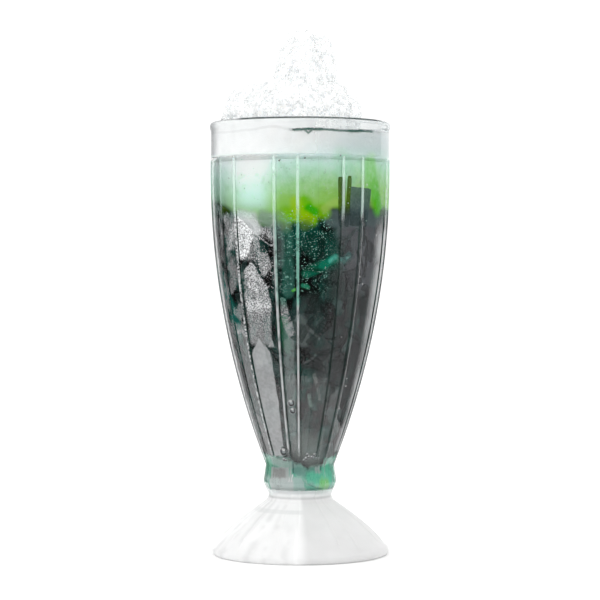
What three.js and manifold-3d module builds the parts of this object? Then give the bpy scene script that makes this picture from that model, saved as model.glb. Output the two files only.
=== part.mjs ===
// A tall footed fountain glass of iced grass jelly: a panelled glass on a bell foot, a heap of
// grass jelly, a layer of green syrup above it and a tall mound of shaved ice.
// Millimetres, +Z up. The origin is on the table, under the middle of the foot.
// Bearings are in degrees round +Z: 0 faces -Y, the front, and 90 faces +X, the right.

import * as THREE from "three";
import { mergeVertices } from "three/addons/utils/BufferGeometryUtils.js";
import Module from "manifold-3d";

const wasm = await Module();
wasm.setup();

// ---- The glass: driving dimensions ----
const GLASS_HEIGHT = 190;
const RIM_RADIUS = 39.3; // outside of the smooth band below the lip
const LIP_RADIUS = 39.8;
const LIP_DROP = 1.9; // from the top of the lip down to its widest place
const RIM_WALL = 2.3;
const NECK_WALL = 3.1;
const LEDGE_HEIGHT = 174; // the panels start under this line
const LEDGE_STEP = 0.2;
const NECK_HEIGHT = 39.4;
const NECK_RADIUS = 14.85;
const KNUCKLE_HEIGHT = 32.1;
const KNUCKLE_RADIUS = 15.9;
const STEM_HEIGHT = 25.6; // the narrowest place, between knuckle and foot
const STEM_RADIUS = 13.7;
const FOOT_TOP_HEIGHT = 23.8;
const FOOT_TOP_RADIUS = 14.6;
const FOOT_EDGE_HEIGHT = 3.6; // where the bell turns into the thin edge band
const FOOT_EDGE_RADIUS = 37.8;
const FOOT_RADIUS = 39.15;
const REST_OUTER_RADIUS = 38; // the flat ring that the glass stands on
const HOLLOW_RADIUS = 33.6; // the domed hollow under the foot
const HOLLOW_HEIGHT = 12;
const CAVITY_FLOOR = 28.5;
const CAVITY_FLOOR_RADIUS = 11.2; // of the straight well inside the knuckle
const WELL_DRAFT = 0.08; // how much the well widens with height
const CAVITY_CORNER = 4.6; // rounding between the well and its floor
const CAVITY_STEPS = 11;

// ---- The pressed panels ----
const PANEL_PAIRS = 8;
const WIDE_PANEL = 30; // degrees
const NARROW_PANEL = 15;
const FIRST_RIDGE = -1.5; // bearing of a ridge with a wide panel to its right
const SEGMENTS_PER_PAIR = 6;
const WIDE_DEPTH = 1.1; // at the rim, in from the ridges; it shrinks with the radius
const NARROW_DEPTH = 0.5;
const FOOT_PANEL_SHARE = 0.9; // how strongly the panels run on over the foot

// ---- What fills the glass ----
const GAP = 0.3; // between any two pieces
const FILL_SEGMENTS = 24;
const CORE_SEGMENTS = 16;
const JELLY_TOP = 145;
const JELLY_CORE_INSET = 3.2; // the plain core lies this far behind the pieces that show
const SYRUP_BOTTOM = 145.4;
const SYRUP_TOP = 172.4;
const ICE_LEVEL = 184; // where the ice meets the wall

// ---- Grass jelly pieces ----
const ROW_PITCH = 12.4;
const PIECE_PITCH = 15.6; // along the wall
const CUBE_SIZE = [6.8, 10]; // least and greatest side
const STICK_SIZE = [2.8, 4];
const STICK_LENGTH = [14, 21];
const STICK_SHARE = 0.3; // of the pieces
const PIECE_DEPTH = 5.2; // from the wall inwards
const WALL_MARGIN = 0.2; // beyond the gap, for the flats of the faceted wall
const JELLY_SEED = 11;
// Pieces that stand up into the syrup: bearing, lowest and highest point, width, lean in degrees.
const STANDING_PIECES = [
  { bearing: 47, low: 142, high: 161, width: 9.2, lean: 8 },
  { bearing: 29, low: 143, high: 165, width: 2.8, lean: -4 },
  { bearing: 36, low: 143, high: 165.5, width: 2.8, lean: 3 },
  { bearing: 8, low: 142, high: 155, width: 8.6, lean: 14 },
  { bearing: 74, low: 142, high: 157, width: 6.4, lean: -12 },
  { bearing: -62, low: 142, high: 154.5, width: 8.4, lean: 24 },
  { bearing: 112, low: 142, high: 158, width: 7.6, lean: 10 },
  { bearing: 150, low: 142, high: 153, width: 8.8, lean: -15 },
  { bearing: 176, low: 142, high: 163, width: 3, lean: 6 },
  { bearing: 207, low: 142, high: 156, width: 8.2, lean: 18 },
  { bearing: 251, low: 142, high: 159, width: 6.8, lean: -7 },
];

// ---- Shaved ice ----
const SHOULDER_SHIFT = -3.7; // the broad shoulder leans to the left of the axis
const SHOULDER_RADIUS = 30;
const SHOULDER_HEIGHT = 204.8;
const TOWER_SHIFT = 2.4; // and the tower on it to the right
const TOWER_RADIUS = 12.7;
const TOWER_FOOT = 211.5;
const TOWER_TOP = 228.4;
const ICE_SEGMENTS = 24;
const ICE_ROUGHNESS = 1.1; // how far the mound's skin is uneven
const CHIP_SIZE = [3, 5.6];
const CHIP_COUNT = 72;
const ICE_SEED = 5;

// ---- Small helpers ----
const radians = THREE.MathUtils.degToRad;
const { lerp, clamp, smoothstep } = THREE.MathUtils;
const MERGE_TOLERANCE = 1e-4;

// Returns a function that draws the same numbers from 0 to 1 each time it is made.
function seededRandom(seed) {
  let state = seed * 2654435761 + 1;
  return () => {
    state = (state + 0x6d2b79f5) | 0;
    let mixed = Math.imul(state ^ (state >>> 15), 1 | state);
    mixed = (mixed + Math.imul(mixed ^ (mixed >>> 7), 61 | mixed)) ^ mixed;
    return ((mixed ^ (mixed >>> 14)) >>> 0) / 4294967296;
  };
}

function between([least, greatest], share) {
  return lerp(least, greatest, share);
}

// A closed geometry as a solid that can be joined and cut.
function toSolid(geometry) {
  const bare = geometry.clone();
  bare.deleteAttribute("normal");
  bare.deleteAttribute("uv");
  const merged = mergeVertices(bare, MERGE_TOLERANCE);
  return new wasm.Manifold(
    new wasm.Mesh({
      numProp: 3,
      vertProperties: new Float32Array(merged.attributes.position.array),
      triVerts: new Uint32Array(merged.index.array),
    }),
  );
}

function toGeometry(solid) {
  const { vertProperties, triVerts } = solid.getMesh();
  const geometry = new THREE.BufferGeometry();
  geometry.setAttribute("position", new THREE.BufferAttribute(vertProperties, 3));
  geometry.setIndex(new THREE.BufferAttribute(triVerts, 1));
  geometry.computeVertexNormals();
  return geometry;
}

// Joins many solids into one, two by two, so that no join is a large one with a small one.
function joinAll(solids) {
  let left = solids;
  while (left.length > 1) {
    const joined = [];
    for (let i = 0; i < left.length; i += 2) {
      joined.push(i + 1 < left.length ? left[i].add(left[i + 1]) : left[i]);
    }
    left = joined;
  }
  return left[0];
}

function largestBody(solid) {
  const bodies = solid.decompose();
  bodies.sort((a, b) => b.volume() - a.volume());
  return bodies[0];
}

// A solid of revolution from [radius, height] points that start and end on the axis.
// move, if given, takes (point, bearing, index of the profile point) and shifts the point.
function turned(profile, segments, move = null, firstBearing = 0) {
  const points = profile.map(([radius, height]) => new THREE.Vector2(radius, height));
  const geometry = new THREE.LatheGeometry(points, segments, radians(firstBearing));
  geometry.rotateX(Math.PI / 2);
  if (move) {
    const position = geometry.attributes.position;
    const point = new THREE.Vector3();
    for (let k = 0; k < position.count; k += 1) {
      const step = Math.floor(k / points.length) % segments;
      const bearing = firstBearing + (step * 360) / segments;
      point.fromBufferAttribute(position, k);
      move(point, bearing, k % points.length);
      position.setXYZ(k, point.x, point.y, point.z);
    }
  }
  return geometry;
}

// ---- Glass ----
const bowlCurve = new THREE.CubicBezierCurve(
  new THREE.Vector2(RIM_RADIUS - LEDGE_STEP, LEDGE_HEIGHT - 0.8),
  new THREE.Vector2(RIM_RADIUS - LEDGE_STEP, LEDGE_HEIGHT - 16),
  new THREE.Vector2(RIM_RADIUS + 0.8, LEDGE_HEIGHT - 69),
  new THREE.Vector2(NECK_RADIUS, NECK_HEIGHT),
);
const footCurve = new THREE.CubicBezierCurve(
  new THREE.Vector2(FOOT_TOP_RADIUS, FOOT_TOP_HEIGHT),
  new THREE.Vector2(21.5, 19),
  new THREE.Vector2(31.5, 12),
  new THREE.Vector2(FOOT_EDGE_RADIUS, FOOT_EDGE_HEIGHT),
);
const bowlTable = bowlCurve.getPoints(200);

// Outside radius of the bowl's ridges at a height between the neck and the ledge.
function bowlRadius(height) {
  const next = bowlTable.findIndex((point) => point.y <= height);
  if (next <= 0) {
    return bowlTable[next === 0 ? 0 : bowlTable.length - 1].x;
  }
  const above = bowlTable[next - 1];
  const below = bowlTable[next];
  return lerp(below.x, above.x, (height - below.y) / (above.y - below.y));
}

// Inside radius of the glass: the bowl less its wall, down to the straight well in the knuckle.
function cavityRadius(height) {
  const rise = clamp((height - NECK_HEIGHT) / (LEDGE_HEIGHT - NECK_HEIGHT), 0, 1);
  const bowl = bowlRadius(Math.min(height, LEDGE_HEIGHT)) - lerp(NECK_WALL, RIM_WALL, rise);
  const well = CAVITY_FLOOR_RADIUS + WELL_DRAFT * (height - CAVITY_FLOOR);
  const drop = clamp(CAVITY_FLOOR + CAVITY_CORNER - height, 0, CAVITY_CORNER);
  return Math.max(bowl, well) - CAVITY_CORNER + Math.sqrt(CAVITY_CORNER ** 2 - drop ** 2);
}

// The panels' depth at a bearing, before it shrinks with the radius: none on a ridge.
function panelDepth(bearing) {
  const pair = 360 / PANEL_PAIRS;
  const turn = (((bearing - FIRST_RIDGE) % pair) + pair) % pair;
  const isWide = turn < WIDE_PANEL;
  const across = isWide ? turn / WIDE_PANEL : (turn - WIDE_PANEL) / NARROW_PANEL;
  return (isWide ? WIDE_DEPTH : NARROW_DEPTH) * 4 * across * (1 - across);
}

// Profile points are [radius, height, share of the panels' depth].
function footProfile() {
  const hollowSteps = 4;
  const footSteps = 6;
  const points = [];
  for (let i = 0; i <= hollowSteps; i += 1) {
    const turn = (i / hollowSteps) * (Math.PI / 2);
    points.push([HOLLOW_RADIUS * Math.sin(turn), HOLLOW_HEIGHT * Math.cos(turn), 0]);
  }
  points[hollowSteps][1] = 0;
  points.push([REST_OUTER_RADIUS, 0, 0]);
  points.push([FOOT_RADIUS - 0.2, 0.7, 0]);
  points.push([FOOT_RADIUS, 1.7, 0]);
  points.push([FOOT_RADIUS - 0.3, 2.7, 0]);
  for (let i = 0; i <= footSteps; i += 1) {
    const along = 1 - i / footSteps;
    const { x, y } = footCurve.getPoint(along);
    const fade = smoothstep(1 - along, 0, 0.25) * FOOT_PANEL_SHARE;
    points.push([x, y, (fade * x) / RIM_RADIUS]);
  }
  return points;
}

function stemProfile() {
  const share = (radius) => radius / RIM_RADIUS;
  return [
    [STEM_RADIUS, STEM_HEIGHT, share(STEM_RADIUS) * 0.5],
    [STEM_RADIUS + 0.1, STEM_HEIGHT + 1, share(STEM_RADIUS) * 0.5],
    [KNUCKLE_RADIUS - 0.5, KNUCKLE_HEIGHT - 1.4, share(KNUCKLE_RADIUS)],
    [KNUCKLE_RADIUS, KNUCKLE_HEIGHT, share(KNUCKLE_RADIUS)],
    [KNUCKLE_RADIUS - 0.3, KNUCKLE_HEIGHT + 2.2, share(KNUCKLE_RADIUS)],
  ];
}

function bowlProfile() {
  const steps = 11;
  const points = [];
  for (let i = 0; i <= steps; i += 1) {
    const { x, y } = bowlCurve.getPoint(1 - i / steps);
    points.push([x, y, x / RIM_RADIUS]);
  }
  return points;
}

function rimProfile() {
  const top = GLASS_HEIGHT;
  const inside = cavityRadius(top);
  const crown = (LIP_RADIUS + inside) / 2;
  return [
    [RIM_RADIUS - 0.05, LEDGE_HEIGHT, 0],
    [RIM_RADIUS, LEDGE_HEIGHT + 4, 0],
    [RIM_RADIUS, top - LIP_DROP - 2.4, 0],
    [LIP_RADIUS - 0.1, top - LIP_DROP - 0.8, 0],
    [LIP_RADIUS, top - LIP_DROP, 0],
    [LIP_RADIUS - 0.4, top - 0.6, 0],
    [crown, top, 0],
    [inside + 0.4, top - 0.5, 0],
    [inside, top - LIP_DROP, 0],
  ];
}

// Heights of the cavity's rings, from the ledge down, closer together towards the neck.
function cavityHeights() {
  const heights = [];
  for (let i = CAVITY_STEPS; i >= 0; i -= 1) {
    heights.push(lerp(CAVITY_FLOOR + CAVITY_CORNER, LEDGE_HEIGHT, (i / CAVITY_STEPS) ** 1.4));
  }
  return heights;
}

// The rounded corner down to the floor, moved in and up by an inset.
function cornerProfile(inset) {
  const steps = 3;
  const straightEnd = CAVITY_FLOOR + CAVITY_CORNER;
  const centre = cavityRadius(straightEnd) - CAVITY_CORNER;
  const reach = CAVITY_CORNER - inset;
  const points = [];
  for (let i = 0; i <= steps; i += 1) {
    const turn = (i / steps) * (Math.PI / 2);
    points.push([centre + reach * Math.cos(turn), straightEnd - reach * Math.sin(turn), 0]);
  }
  points.push([0, CAVITY_FLOOR + inset, 0]);
  return points;
}

function cavityProfile() {
  const walls = cavityHeights().map((height) => [cavityRadius(height), height, 0]);
  return [...walls.slice(0, -1), ...cornerProfile(0)];
}

function glassGeometry() {
  const profile = [
    ...footProfile(),
    ...stemProfile(),
    ...bowlProfile(),
    ...rimProfile(),
    ...cavityProfile(),
  ];
  const pressPanels = (point, bearing, index) => {
    const [radius, , share] = profile[index];
    if (share > 0) {
      const scale = 1 - (panelDepth(bearing) * share) / radius;
      point.x *= scale;
      point.y *= scale;
    }
  };
  return turned(profile, PANEL_PAIRS * SEGMENTS_PER_PAIR, pressPanels, FIRST_RIDGE);
}

// ---- Fillings ----
// A plug that fills the cavity between two heights, inset from the wall. Without a bottom it
// goes down to the cavity's floor.
function plugGeometry(bottom, top, inset, segments = FILL_SEGMENTS) {
  const heights = cavityHeights().filter((height) => height < top && height > (bottom ?? 0));
  heights.reverse();
  const profile = heights.map((height) => [cavityRadius(height) - inset, height]);
  if (bottom === null) {
    profile.splice(0, 1, ...cornerProfile(inset).reverse());
  } else {
    profile.unshift([0, bottom], [cavityRadius(bottom) - inset, bottom]);
  }
  profile.push([cavityRadius(top) - inset, top], [0, top]);
  return turned(profile, segments);
}

// How far a geometry reaches into the wall of the glass, less the gap that it keeps.
function reachIntoWall(geometry) {
  const position = geometry.attributes.position;
  let reach = -Infinity;
  for (let k = 0; k < position.count; k += 1) {
    const radius = Math.hypot(position.getX(k), position.getY(k));
    reach = Math.max(reach, radius - cavityRadius(position.getZ(k)));
  }
  return reach + GAP + WALL_MARGIN;
}

// One block of jelly, pushed in until its corners clear the wall, then grown by a margin.
// size is [along the wall, inwards, up].
function wallBlock(bearing, height, size, lean, grow) {
  const slope = Math.atan2(cavityRadius(height + 4) - cavityRadius(height - 4), 8);
  const place = (block, radius) => {
    block.rotateY(radians(lean));
    block.rotateX(slope);
    return block.translate(0, -radius, height);
  };
  const trial = place(new THREE.BoxGeometry(...size, 2, 1, 4), cavityRadius(height));
  const grown = size.map((side) => side + 2 * grow);
  const block = place(new THREE.BoxGeometry(...grown), cavityRadius(height) - reachIntoWall(trial));
  return block.rotateZ(radians(bearing));
}

// The jelly pieces that show, grown by a margin so that the syrup can be cut clear of them.
function jellyPieces(grow) {
  const random = seededRandom(JELLY_SEED);
  const pieces = [];
  const firstRow = CAVITY_FLOOR + 7;
  const rows = Math.floor((JELLY_TOP - 2 - firstRow) / ROW_PITCH);
  for (let row = 0; row <= rows; row += 1) {
    const rowHeight = firstRow + row * ROW_PITCH;
    const count = Math.round((2 * Math.PI * cavityRadius(rowHeight)) / PIECE_PITCH);
    for (let i = 0; i < count; i += 1) {
      const bearing = ((i + 0.5 * (row % 2) + 0.5 * random()) * 360) / count;
      const height = rowHeight + (random() - 0.5) * 3;
      const isStick = random() < STICK_SHARE && rowHeight > NECK_HEIGHT + 8;
      const side = isStick ? STICK_SIZE : CUBE_SIZE;
      const width = between(side, random());
      const rise = isStick ? between(STICK_LENGTH, random()) : between(CUBE_SIZE, random());
      const lean = (random() - 0.5) * (isStick ? 150 : 60);
      const size = [width, PIECE_DEPTH, rise];
      pieces.push(toSolid(wallBlock(bearing, height, size, lean, grow)));
    }
  }
  for (const { bearing, low, high, width, lean } of STANDING_PIECES) {
    const size = [width, PIECE_DEPTH, high - low];
    pieces.push(toSolid(wallBlock(bearing, (low + high) / 2, size, lean, grow)));
  }
  return pieces;
}

// The core and its pieces, joined.
function jellyHeap(grow) {
  const core = plugGeometry(null, JELLY_TOP + grow, JELLY_CORE_INSET - grow, CORE_SEGMENTS);
  return joinAll([toSolid(core), ...jellyPieces(grow)]);
}

function jellySolid() {
  return largestBody(jellyHeap(0));
}

function syrupSolid() {
  const layer = toSolid(plugGeometry(SYRUP_BOTTOM, SYRUP_TOP, GAP));
  return largestBody(layer.subtract(jellyHeap(GAP)));
}

// ---- Shaved ice ----
// The mound's outline from the wall in and up: [radius, height, shift of its centre along X].
function iceProfile() {
  const wall = cavityRadius(ICE_LEVEL) - GAP;
  const points = [
    [0, SYRUP_TOP + GAP, 0],
    [wall - 0.1, SYRUP_TOP + GAP, 0],
    [wall, ICE_LEVEL - 1, 0],
    [wall - 2.5, ICE_LEVEL - 0.2, 0],
    [SHOULDER_RADIUS + 0.8, ICE_LEVEL, SHOULDER_SHIFT],
    [SHOULDER_RADIUS, ICE_LEVEL + 5, SHOULDER_SHIFT],
    [SHOULDER_RADIUS - 0.7, ICE_LEVEL + 10, SHOULDER_SHIFT],
    [SHOULDER_RADIUS - 3, SHOULDER_HEIGHT - 5.5, SHOULDER_SHIFT],
    [SHOULDER_RADIUS - 5, SHOULDER_HEIGHT - 1.8, SHOULDER_SHIFT],
    [SHOULDER_RADIUS - 8.5, SHOULDER_HEIGHT, SHOULDER_SHIFT + 1.5],
    [TOWER_RADIUS + 4, SHOULDER_HEIGHT + 1.8, TOWER_SHIFT - 2],
    [TOWER_RADIUS + 1.2, TOWER_FOOT - 2, TOWER_SHIFT - 1],
  ];
  const towerSteps = 5;
  for (let i = 0; i < towerSteps; i += 1) {
    const turn = (i / towerSteps) * (Math.PI / 2);
    const radius = TOWER_RADIUS * Math.cos(turn) ** 0.6;
    points.push([radius, lerp(TOWER_FOOT, TOWER_TOP, Math.sin(turn) ** 0.95), TOWER_SHIFT]);
  }
  points.push([0, TOWER_TOP + 0.3, TOWER_SHIFT]);
  return points;
}

// A smooth unevenness from -1 to 1 over the mound.
function unevenness(bearing, height) {
  const turn = radians(bearing);
  return (
    0.5 * Math.sin(3 * turn + 0.31 * height) +
    0.3 * Math.sin(7 * turn - 0.52 * height + 1.1) +
    0.2 * Math.sin(12 * turn + 0.9 * height + 2.3)
  );
}

function iceMound() {
  const profile = iceProfile();
  const settle = (point, bearing, index) => {
    const [radius, height, shift] = profile[index];
    if (height > ICE_LEVEL - 0.5 && radius > 0) {
      const scale = 1 + (ICE_ROUGHNESS * unevenness(bearing, height)) / Math.max(radius, 8);
      point.x *= scale;
      point.y *= scale;
    }
    point.x += shift;
  };
  return turned(profile, ICE_SEGMENTS, settle);
}

// One chip of ice, a small slab turned any way.
function iceChip(random, place) {
  const long = between(CHIP_SIZE, random());
  const chip = new THREE.BoxGeometry(long * (0.4 + 0.3 * random()), long * (0.6 + 0.4 * random()), long);
  chip.rotateX(Math.PI * random());
  chip.rotateY(Math.PI * random());
  chip.rotateZ(Math.PI * random());
  return chip.translate(place.x, place.y, place.z);
}

// Chips spread evenly over the mound above the level at the wall, by equal steps of a spiral.
function iceChips() {
  const random = seededRandom(ICE_SEED);
  const outline = iceProfile().slice(5);
  const goldenTurn = 137.508;
  const chips = [];
  const areas = outline.slice(1).map(([radius, height], i) => {
    const [lastRadius, lastHeight] = outline[i];
    return Math.hypot(radius - lastRadius, height - lastHeight) * (radius + lastRadius + 4);
  });
  const wholeArea = areas.reduce((sum, area) => sum + area, 0);
  let k = 0;
  let left = (wholeArea / CHIP_COUNT) * 0.5;
  areas.forEach((area, i) => {
    for (; left < area; left += wholeArea / CHIP_COUNT) {
      const share = left / area;
      const [radius, height, shift] = outline[i].map((value, j) => lerp(value, outline[i + 1][j], share));
      const turn = radians(k * goldenTurn);
      const place = new THREE.Vector3(radius * Math.sin(turn) + shift, -radius * Math.cos(turn), height);
      chips.push(toSolid(iceChip(random, place)));
      k += 1;
    }
    left -= area;
  });
  return chips;
}

function iceSolid() {
  return largestBody(joinAll([toSolid(iceMound()), ...iceChips()]));
}

// ---- Assembly ----
const glassLook = new THREE.MeshStandardMaterial({
  color: 0xeef2f1,
  roughness: 0.08,
  metalness: 0,
  transparent: true,
  opacity: 0.35,
});
const jellyLook = new THREE.MeshStandardMaterial({
  color: 0x24322d,
  roughness: 0.25,
  metalness: 0,
});
const syrupLook = new THREE.MeshStandardMaterial({
  color: 0x7fc46a,
  roughness: 0.15,
  metalness: 0,
});
const iceLook = new THREE.MeshStandardMaterial({
  color: 0xf7fafa,
  roughness: 0.5,
  metalness: 0,
});

function piece(name, geometry, material) {
  const mesh = new THREE.Mesh(geometry, material);
  mesh.name = name;
  return mesh;
}

const icedGrassJelly = new THREE.Group();
icedGrassJelly.add(piece("glass", glassGeometry(), glassLook));
icedGrassJelly.add(piece("grass_jelly", toGeometry(jellySolid()), jellyLook));
icedGrassJelly.add(piece("green_syrup", toGeometry(syrupSolid()), syrupLook));
icedGrassJelly.add(piece("shaved_ice", toGeometry(iceSolid()), iceLook));

export default icedGrassJelly;
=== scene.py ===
"""Tall fountain glass of iced grass jelly, built and dressed for a product picture.

A panelled glass on a bell foot holds dark grass jelly in a teal liquor, a layer of green syrup
above it and a tall mound of shaved ice.  Shapes are worked out in millimetres and written to
meshes in metres.  Bearings run round +Z in degrees: 0 faces the camera, 90 faces +X.
"""

from __future__ import annotations

import logging
import math
import random
from abc import ABC, abstractmethod
from dataclasses import dataclass
from enum import Enum
from functools import lru_cache
from itertools import combinations
from typing import ClassVar, Iterable, Optional, Sequence, Union

import bpy
from mathutils import Matrix, Vector, noise


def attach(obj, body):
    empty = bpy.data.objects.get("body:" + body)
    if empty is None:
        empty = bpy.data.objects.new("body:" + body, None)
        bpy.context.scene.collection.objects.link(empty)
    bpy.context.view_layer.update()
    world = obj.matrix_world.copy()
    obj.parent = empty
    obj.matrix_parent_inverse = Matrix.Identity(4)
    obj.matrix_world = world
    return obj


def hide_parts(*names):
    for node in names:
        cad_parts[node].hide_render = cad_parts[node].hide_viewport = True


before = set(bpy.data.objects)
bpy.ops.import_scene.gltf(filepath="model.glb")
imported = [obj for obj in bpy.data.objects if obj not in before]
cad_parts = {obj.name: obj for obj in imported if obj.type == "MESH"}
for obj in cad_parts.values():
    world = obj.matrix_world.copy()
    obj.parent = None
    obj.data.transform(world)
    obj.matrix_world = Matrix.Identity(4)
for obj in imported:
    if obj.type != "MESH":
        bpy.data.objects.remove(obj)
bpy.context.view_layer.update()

log = logging.getLogger("iced_grass_jelly")

MM = 0.001
TONE = "tone"  # mesh attribute with the tone of each loose body
Rgb = tuple[float, float, float]
Point = tuple[float, float, float]
Pair = tuple[float, float]
Profile = list[tuple[float, float, float]]  # radius, height and strength of the panels


class Node(str, Enum):
    """CAD nodes that the pieces stand in for."""

    GLASS = "glass"
    JELLY = "grass_jelly"
    SYRUP = "green_syrup"
    ICE = "shaved_ice"


class Slot(str, Enum):
    """Material slots of the part."""

    GLASS = "clear_glass"
    JELLY = "grass_jelly"
    SYRUP = "green_syrup"
    ICE = "shaved_ice"


# ---- Small sums ----


def lerp(start: float, end: float, share: float) -> float:
    """Value a share of the way from start to end."""
    return start + (end - start) * share


def clamp(value: float, low: float = 0.0, high: float = 1.0) -> float:
    """Value held between low and high."""
    return max(low, min(high, value))


def smoothstep(value: float, low: float, high: float) -> float:
    """Smooth rise from 0 at low to 1 at high."""
    share = clamp((value - low) / (high - low))
    return share * share * (3.0 - 2.0 * share)


def bezier(points: Sequence[Pair], share: float) -> Pair:
    """Point of a cubic curve.

    Args:
        points: The four control points.
        share: Place along the curve, 0 to 1.

    Returns:
        The (radius, height) of the curve there.
    """
    rest = 1.0 - share
    weights = (rest**3, 3 * rest**2 * share, 3 * rest * share**2, share**3)
    across, up = (sum(w * point[axis] for w, point in zip(weights, points)) for axis in range(2))
    return (across, up)


def polar(radius: float, bearing: float, height: float) -> Point:
    """Point in metres from millimetres round the axis and a bearing in degrees."""
    turn = math.radians(bearing)
    return (radius * math.sin(turn) * MM, -radius * math.cos(turn) * MM, height * MM)


def srgb(red: float, green: float, blue: float) -> Rgb:
    """Linear colour from screen values of 0 to 255.

    Args:
        red: Screen value of 0 to 255.
        green: The same.
        blue: The same.

    Returns:
        Linear colour.
    """

    def linear(value: float) -> float:
        """Linear share of one screen value."""
        share = value / 255.0
        return share / 12.92 if share <= 0.04045 else ((share + 0.055) / 1.055) ** 2.4

    return (linear(red), linear(green), linear(blue))


def seen(red: float, green: float, blue: float) -> Rgb:
    """Colour that a wet surface needs so that it looks as given through the glass.

    Args:
        red: Screen value of 0 to 255, as it should show.
        green: The same.
        blue: The same.

    Returns:
        Linear colour; light that is thrown back inside the glass darkens what lies against it.
    """
    let_out, thrown_back, light, haze = 0.412, 0.418, 1.12, 0.008
    wanted = [max(value - haze, 0.0015) / light for value in srgb(red, green, blue)]
    found = [min(value / (let_out + thrown_back * value), 0.97) for value in wanted]
    return (found[0], found[1], found[2])


class Draw:
    """Seeded draws that follow the same sequence as the solid model's."""

    MASK = 0xFFFFFFFF
    STRIDE = 0x6D2B79F5
    SPREAD = 2654435761
    RANGE = 4294967296.0

    def __init__(self, seed: int) -> None:
        """Start the sequence of a seed."""
        self.state = (seed * self.SPREAD + 1) & self.MASK

    def __call__(self) -> float:
        """Next number from 0 to 1.

        Returns:
            The number drawn.
        """
        self.state = (self.state + self.STRIDE) & self.MASK
        state = self.state
        mixed = ((state ^ (state >> 15)) * (1 | state)) & self.MASK
        stirred = ((mixed ^ (mixed >> 7)) * (61 | mixed)) & self.MASK
        mixed = ((mixed + stirred) & self.MASK) ^ mixed
        return ((mixed ^ (mixed >> 14)) & self.MASK) / self.RANGE


# ---- Shader expressions ----

Operand = Union["Field", float, Sequence[float]]
Settings = Optional[dict[str, object]]
Inputs = Optional[dict[Union[str, int], object]]
Stops = list[tuple[float, Rgb]]


class Field:
    """A value, vector or colour in a node tree, with Python operators."""

    def __init__(self, canvas: "Canvas", socket: bpy.types.NodeSocket) -> None:
        """Wrap a socket of a canvas."""
        self.canvas = canvas
        self.socket = socket

    @property
    def is_vector(self) -> bool:
        """Whether the socket carries three numbers."""
        return self.socket.type in {"VECTOR", "RGBA"}

    def _join(self, operation: str, first: Operand, second: Operand) -> "Field":
        """Node of an operation on two operands, of the Vector Math kind if either is a vector.

        Args:
            operation: Name of the operation.
            first: Left operand.
            second: Right operand.

        Returns:
            The result.
        """
        wide = any(
            operand.is_vector if isinstance(operand, Field) else not isinstance(operand, (int, float))
            for operand in (first, second)
        )
        kind = "ShaderNodeVectorMath" if wide else "ShaderNodeMath"
        return self.canvas.node(kind, {"operation": operation}, {0: first, 1: second})

    def __add__(self, other: Operand) -> "Field":
        """Sum."""
        return self._join("ADD", self, other)

    __radd__ = __add__

    def __sub__(self, other: Operand) -> "Field":
        """Difference."""
        return self._join("SUBTRACT", self, other)

    def __rsub__(self, other: Operand) -> "Field":
        """Difference from a plain number."""
        return self._join("SUBTRACT", other, self)

    def __mul__(self, other: Operand) -> "Field":
        """Product."""
        return self._join("MULTIPLY", self, other)

    __rmul__ = __mul__

    def __truediv__(self, other: Operand) -> "Field":
        """Quotient."""
        return self._join("DIVIDE", self, other)

    def __rtruediv__(self, other: Operand) -> "Field":
        """Quotient of a plain number."""
        return self._join("DIVIDE", other, self)

    def __abs__(self) -> "Field":
        """Distance from zero."""
        return self.canvas.math("ABSOLUTE", self)

    def rise(self, low: float, high: float, top: float = 1.0) -> "Field":
        """Smooth rise from 0 at low to top at high; low may be the greater.

        Args:
            low: Value where the rise starts; it may be the greater.
            high: Value where it ends.
            top: Height of the rise.

        Returns:
            The risen field.
        """
        settings = {"interpolation_type": "SMOOTHSTEP"}
        inputs = {"Value": self, "From Min": low, "From Max": high, "To Max": top}
        return self.canvas.node("ShaderNodeMapRange", settings, inputs)

    def within(self, low: float, high: float, soft: float) -> "Field":
        """Band that is 1 between low and high and fades over soft on each side."""
        return self.rise(low - soft, low) * self.rise(high + soft, high)

    def held(self) -> "Field":
        """Value held between 0 and 1."""
        settings = {"operation": "ADD", "use_clamp": True}
        return self.canvas.node("ShaderNodeMath", settings, {0: self, 1: 0.0})


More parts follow.
